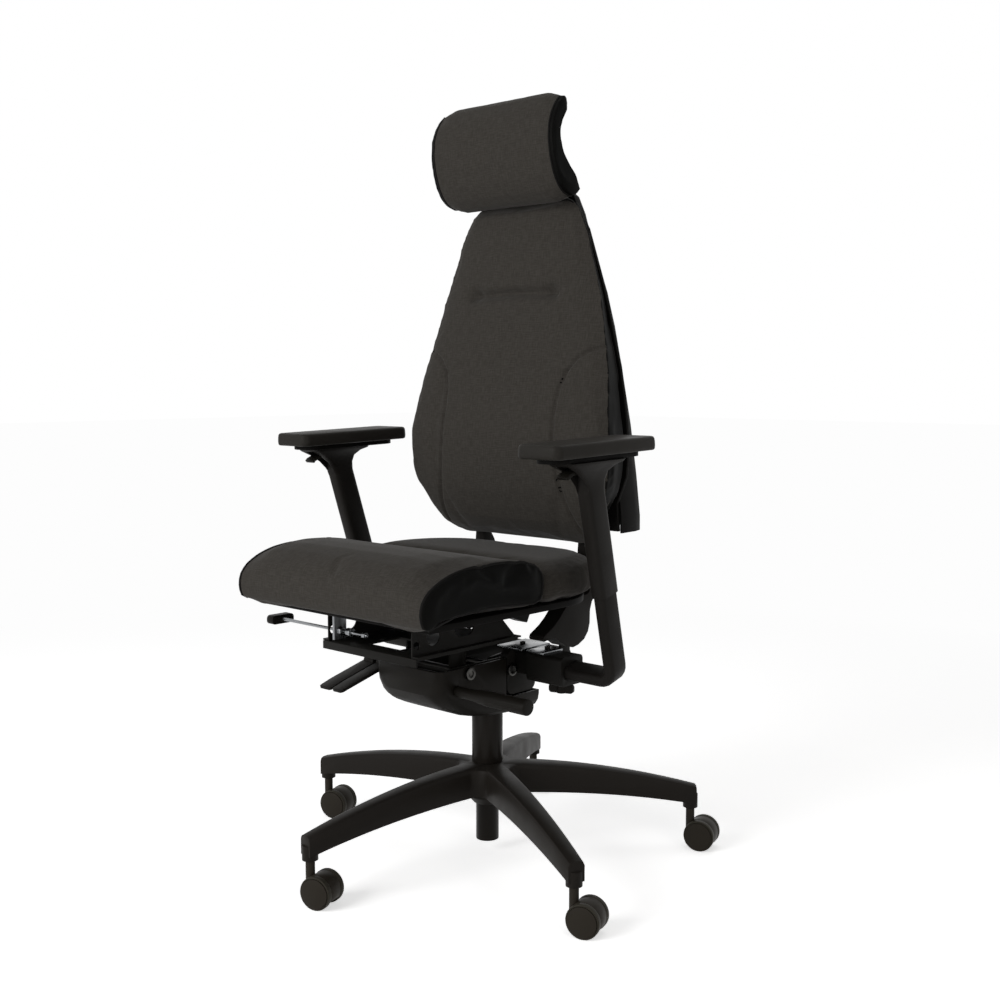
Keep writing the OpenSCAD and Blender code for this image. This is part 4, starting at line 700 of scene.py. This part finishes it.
def from_path(points, path):
    """Distance of each flat point from a path, and how far along the path that is."""
    nearest, along, before = np.full(len(points), FAR), np.zeros(len(points)), 0.0
    for start, end in zip(np.array(path[:-1]), np.array(path[1:])):
        run = end - start
        length = np.linalg.norm(run)
        share = np.clip((points - start) @ run / length ** 2, 0, 1)
        away = np.linalg.norm(points - start - share[:, None] * run, axis=1)
        better = away < nearest
        nearest = np.where(better, away, nearest)
        along = np.where(better, before + share * length, along)
        before += length
    return nearest, along


def flattened(piece, path_mm):
    """Lays a UV map on a piece: X across, and the length along a path of (y, z) points in mm."""
    places = read_points(piece)[0]
    along = from_path(places[:, 1:], [(y * MM, z * MM) for y, z in path_mm])[1]
    corners = np.empty(len(piece.data.loops), dtype=np.int32)
    piece.data.loops.foreach_get("vertex_index", corners)
    layer = piece.data.uv_layers.new(name="weave")
    flat = np.column_stack((places[corners, 0], along[corners]))
    layer.data.foreach_set("uv", flat.reshape(-1))


# %% [markdown]
# ### Piping
# Piping is a string in a strip of vinyl, sewn into the seam between the woven panel and the sides.
# A bevel along the seam would be too square, so it is a round cord of its own. Its route has to lie
# on the swollen cover, so rays are sent from outside towards a centre, and the cord follows the
# points that they hit.


# %% Find a seam and lay a cord on it
ALONG_X, ALONG_Y, ALONG_Z = (1, 0, 0), (0, 1, 0), (0, 0, 1)


def hits_round(piece, centre, across, up, count, start=0.0, sweep=360.0):
    """Points of a piece that rays towards a centre meet, in the plane of two directions."""
    depsgraph = bpy.context.evaluated_depsgraph_get()
    across, up, centre = Vector(across), Vector(up), Vector(centre)
    found = []
    for k in range(count):
        turn = math.radians(start + sweep * k / (count if sweep == 360.0 else count - 1))
        out = across * math.cos(turn) + up * math.sin(turn)
        hit, place, _, _ = piece.ray_cast(centre + out, -out, depsgraph=depsgraph)
        if hit:
            found.append(place.copy())
    return found


def cord_along(name, points, thickness_mm, body, closed=False):
    """A round piping cord through points, made a mesh, that moves with a body."""
    curve = bpy.data.curves.new(name, "CURVE")
    curve.dimensions = "3D"
    curve.bevel_depth = thickness_mm * MM / 2
    curve.bevel_resolution = 2
    curve.use_fill_caps = not closed
    spline = curve.splines.new("POLY")
    spline.points.add(len(points) - 1)
    for slot_point, place in zip(spline.points, points):
        slot_point.co = (*place, 1)
    spline.use_cyclic_u = closed
    piece = bpy.data.objects.new(name, curve)
    bpy.context.scene.collection.objects.link(piece)
    select_only(piece)
    bpy.ops.object.convert(target="MESH")
    piece = bpy.context.object
    piece.data.materials.append(piping)
    smooth(piece, SOFT_ANGLE)
    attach(piece, body)
    print(name, "through", len(points), "points")


# %% [markdown]
# ## The seat
# The seat has two cushions. The front one rolls over the edge under the knees and has a woven panel
# between two vinyl sides. The rear one is a plain woven pad behind it. They could be one mesh with
# a groove, but on the chair they are two pads with a gap, and a simulation gives each its crown.
# The side seam is a ring at one X, so the vinyl is told from the cloth by that X alone.

# %% Front seat cushion
FRONT_PROFILE = [(-314, 432), (-330, 433), (-336, 446), (-338, 464), (-333, 482), (-321, 500),
                 (-301, 515), (-274, 523), (-240, 525), (-200, 523), (-165, 516), (-135, 507),
                 (-110, 499), (-97, 487), (-93, 472), (-96, 450)]
SIDE_SEAM_X = 197 * MM

seat_front = cushion("seat_front_cushion", voxel_mm=5, inset_mm=2.5, pressure=4, cap_mm=5)
flattened(seat_front, FRONT_PROFILE)
seat_front.data.materials.append(fabric)
repaint(seat_front, vinyl, lambda centre, normal: abs(centre.x) > SIDE_SEAM_X)
smooth(seat_front, SOFT_ANGLE)
hand_over(seat_front, "seat_front_cushion")

# %% Rear seat cushion
REAR_PROFILE = [(-88, 440), (-90, 474), (-80, 496), (-50, 501), (60, 501), (90, 495), (101, 468),
                (100, 440)]

seat_rear = cushion("seat_rear_cushion", voxel_mm=5, inset_mm=3, pressure=4, cap_mm=5.5)
flattened(seat_rear, REAR_PROFILE)
smooth(seat_rear, SOFT_ANGLE)
hand_over(seat_rear, "seat_rear_cushion", fabric)

# %% Seat piping
SEAT_SEAM_MIDDLE = (-0.215, 0.475)  # y and z inside the front cushion
SEAT_SEAM_RAYS = 96
SEAT_PIPING_MM = 4.5

for side, sign in (("left", 1), ("right", -1)):
    ring = hits_round(seat_front, (sign * SIDE_SEAM_X, *SEAT_SEAM_MIDDLE), ALONG_Y, ALONG_Z,
                      SEAT_SEAM_RAYS)
    cord_along(f"seat_piping_{side}", ring, SEAT_PIPING_MM, "seat", closed=True)

# %% [markdown]
# ## The back
# The back cushion is one tall pad. Two long stitched seams curve in from its sides, and a short
# cross tuft sits between its shoulders. Separate panels would need their edges matched all along.
# Stitching only pulls the cover into the foam, so a groove is pressed in along each line, deepest
# on the line and fading as a bell curve. The sides and the rear are vinyl, and piping runs round
# the widest outline.


# %% Press a seam in
FACING_SHARE = 0.15  # how far a point has to face the way before it is pressed


def carved(piece, line_mm, depth_mm, width_mm, facing=(0, -1, 0)):
    """Presses a groove into the side of a piece that faces a way, along a line of (x, z) in mm."""
    places, normals = read_points(piece)
    away = from_path(places[:, [0, 2]], [(x * MM, z * MM) for x, z in line_mm])[0]
    pressed = np.exp(-(away / (width_mm * MM)) ** 2) * (normals @ np.array(facing) > FACING_SHARE)
    write_points(piece, places - (depth_mm * MM * pressed)[:, None] * np.array(facing))


# %% Back cushion
BACK_PROFILE = [(60, 510), (30, 560), (15, 650), (20, 720), (50, 820), (70, 950), (80, 1050)]
BACK_SEAM = [(190, 818), (168, 812), (146, 800), (130, 780), (121, 755), (118, 718), (120, 670),
             (126, 620), (136, 575), (146, 530)]
BACK_TUFT = [(-88, 901), (-50, 903), (0, 905), (50, 903), (88, 901)]
TUFT_END = [(78, 908), (79, 909)]
VINYL_SIDE, VINYL_REAR = 0.8, 0.5  # how far a face has to turn sideways or back to be vinyl
BACK_MIDDLE = (0, 0.0915, 0.78)
BACK_SEAM_RAYS = 160
BACK_PIPING_MM = 5

back_cover = cushion("back_cushion", voxel_mm=5, inset_mm=2.5, pressure=4, cap_mm=5)
for sign in (1, -1):
    carved(back_cover, [(sign * x, z) for x, z in BACK_SEAM], depth_mm=4.5, width_mm=3)
    carved(back_cover, [(sign * x, z) for x, z in TUFT_END], depth_mm=6, width_mm=10)
carved(back_cover, BACK_TUFT, depth_mm=8, width_mm=7)
flattened(back_cover, BACK_PROFILE)
back_cover.data.materials.append(fabric)
repaint(back_cover, vinyl,
        lambda centre, normal: abs(normal.x) > VINYL_SIDE or normal.y > VINYL_REAR)
smooth(back_cover, SOFT_ANGLE)
hand_over(back_cover, "back_cushion")
ring = hits_round(back_cover, BACK_MIDDLE, ALONG_X, ALONG_Z, BACK_SEAM_RAYS)
cord_along("back_piping", ring, BACK_PIPING_MM, "backrest", closed=True)

# %% [markdown]
# ## The headrest
# The headrest is a small pad, made as the back is, with a finer mesh because it is smaller. Its
# ends are vinyl and its rear lies on the shell. The piping runs from the top edge down over the
# front and round under the pad, so the rays sweep part of a circle. A full ring would cross the
# shell.

# %% Headrest cushion
HEAD_PROFILE = [(56, 1040), (27, 1056), (15, 1075), (6, 1101), (2, 1127), (4, 1153), (11, 1176),
                (21, 1192), (34, 1202), (45, 1200)]
HEAD_SEAM_X = 122 * MM
HEAD_REAR = 0.6  # how far a face has to turn back to be vinyl
HEAD_SEAM_MIDDLE = (0.018, 1.125)  # y and z in front of the shell
HEAD_SEAM_RAYS = 60
HEAD_SEAM_START, HEAD_SEAM_SWEEP = 80, 218  # degrees
HEAD_PIPING_MM = 3

head_cover = cushion("headrest_cushion", voxel_mm=3.5, inset_mm=1.5, pressure=4, cap_mm=3,
                     hollow_ends=True)
flattened(head_cover, HEAD_PROFILE)
head_cover.data.materials.append(fabric)
repaint(head_cover, vinyl,
        lambda centre, normal: abs(centre.x) > HEAD_SEAM_X or normal.y > HEAD_REAR)
smooth(head_cover, SOFT_ANGLE)
hand_over(head_cover, "headrest_cushion")
for side, sign in (("left", 1), ("right", -1)):
    ring = hits_round(head_cover, (sign * HEAD_SEAM_X, *HEAD_SEAM_MIDDLE), ALONG_Y, ALONG_Z,
                      HEAD_SEAM_RAYS, HEAD_SEAM_START, HEAD_SEAM_SWEEP)
    cord_along(f"headrest_piping_{side}", ring, HEAD_PIPING_MM, "headrest")
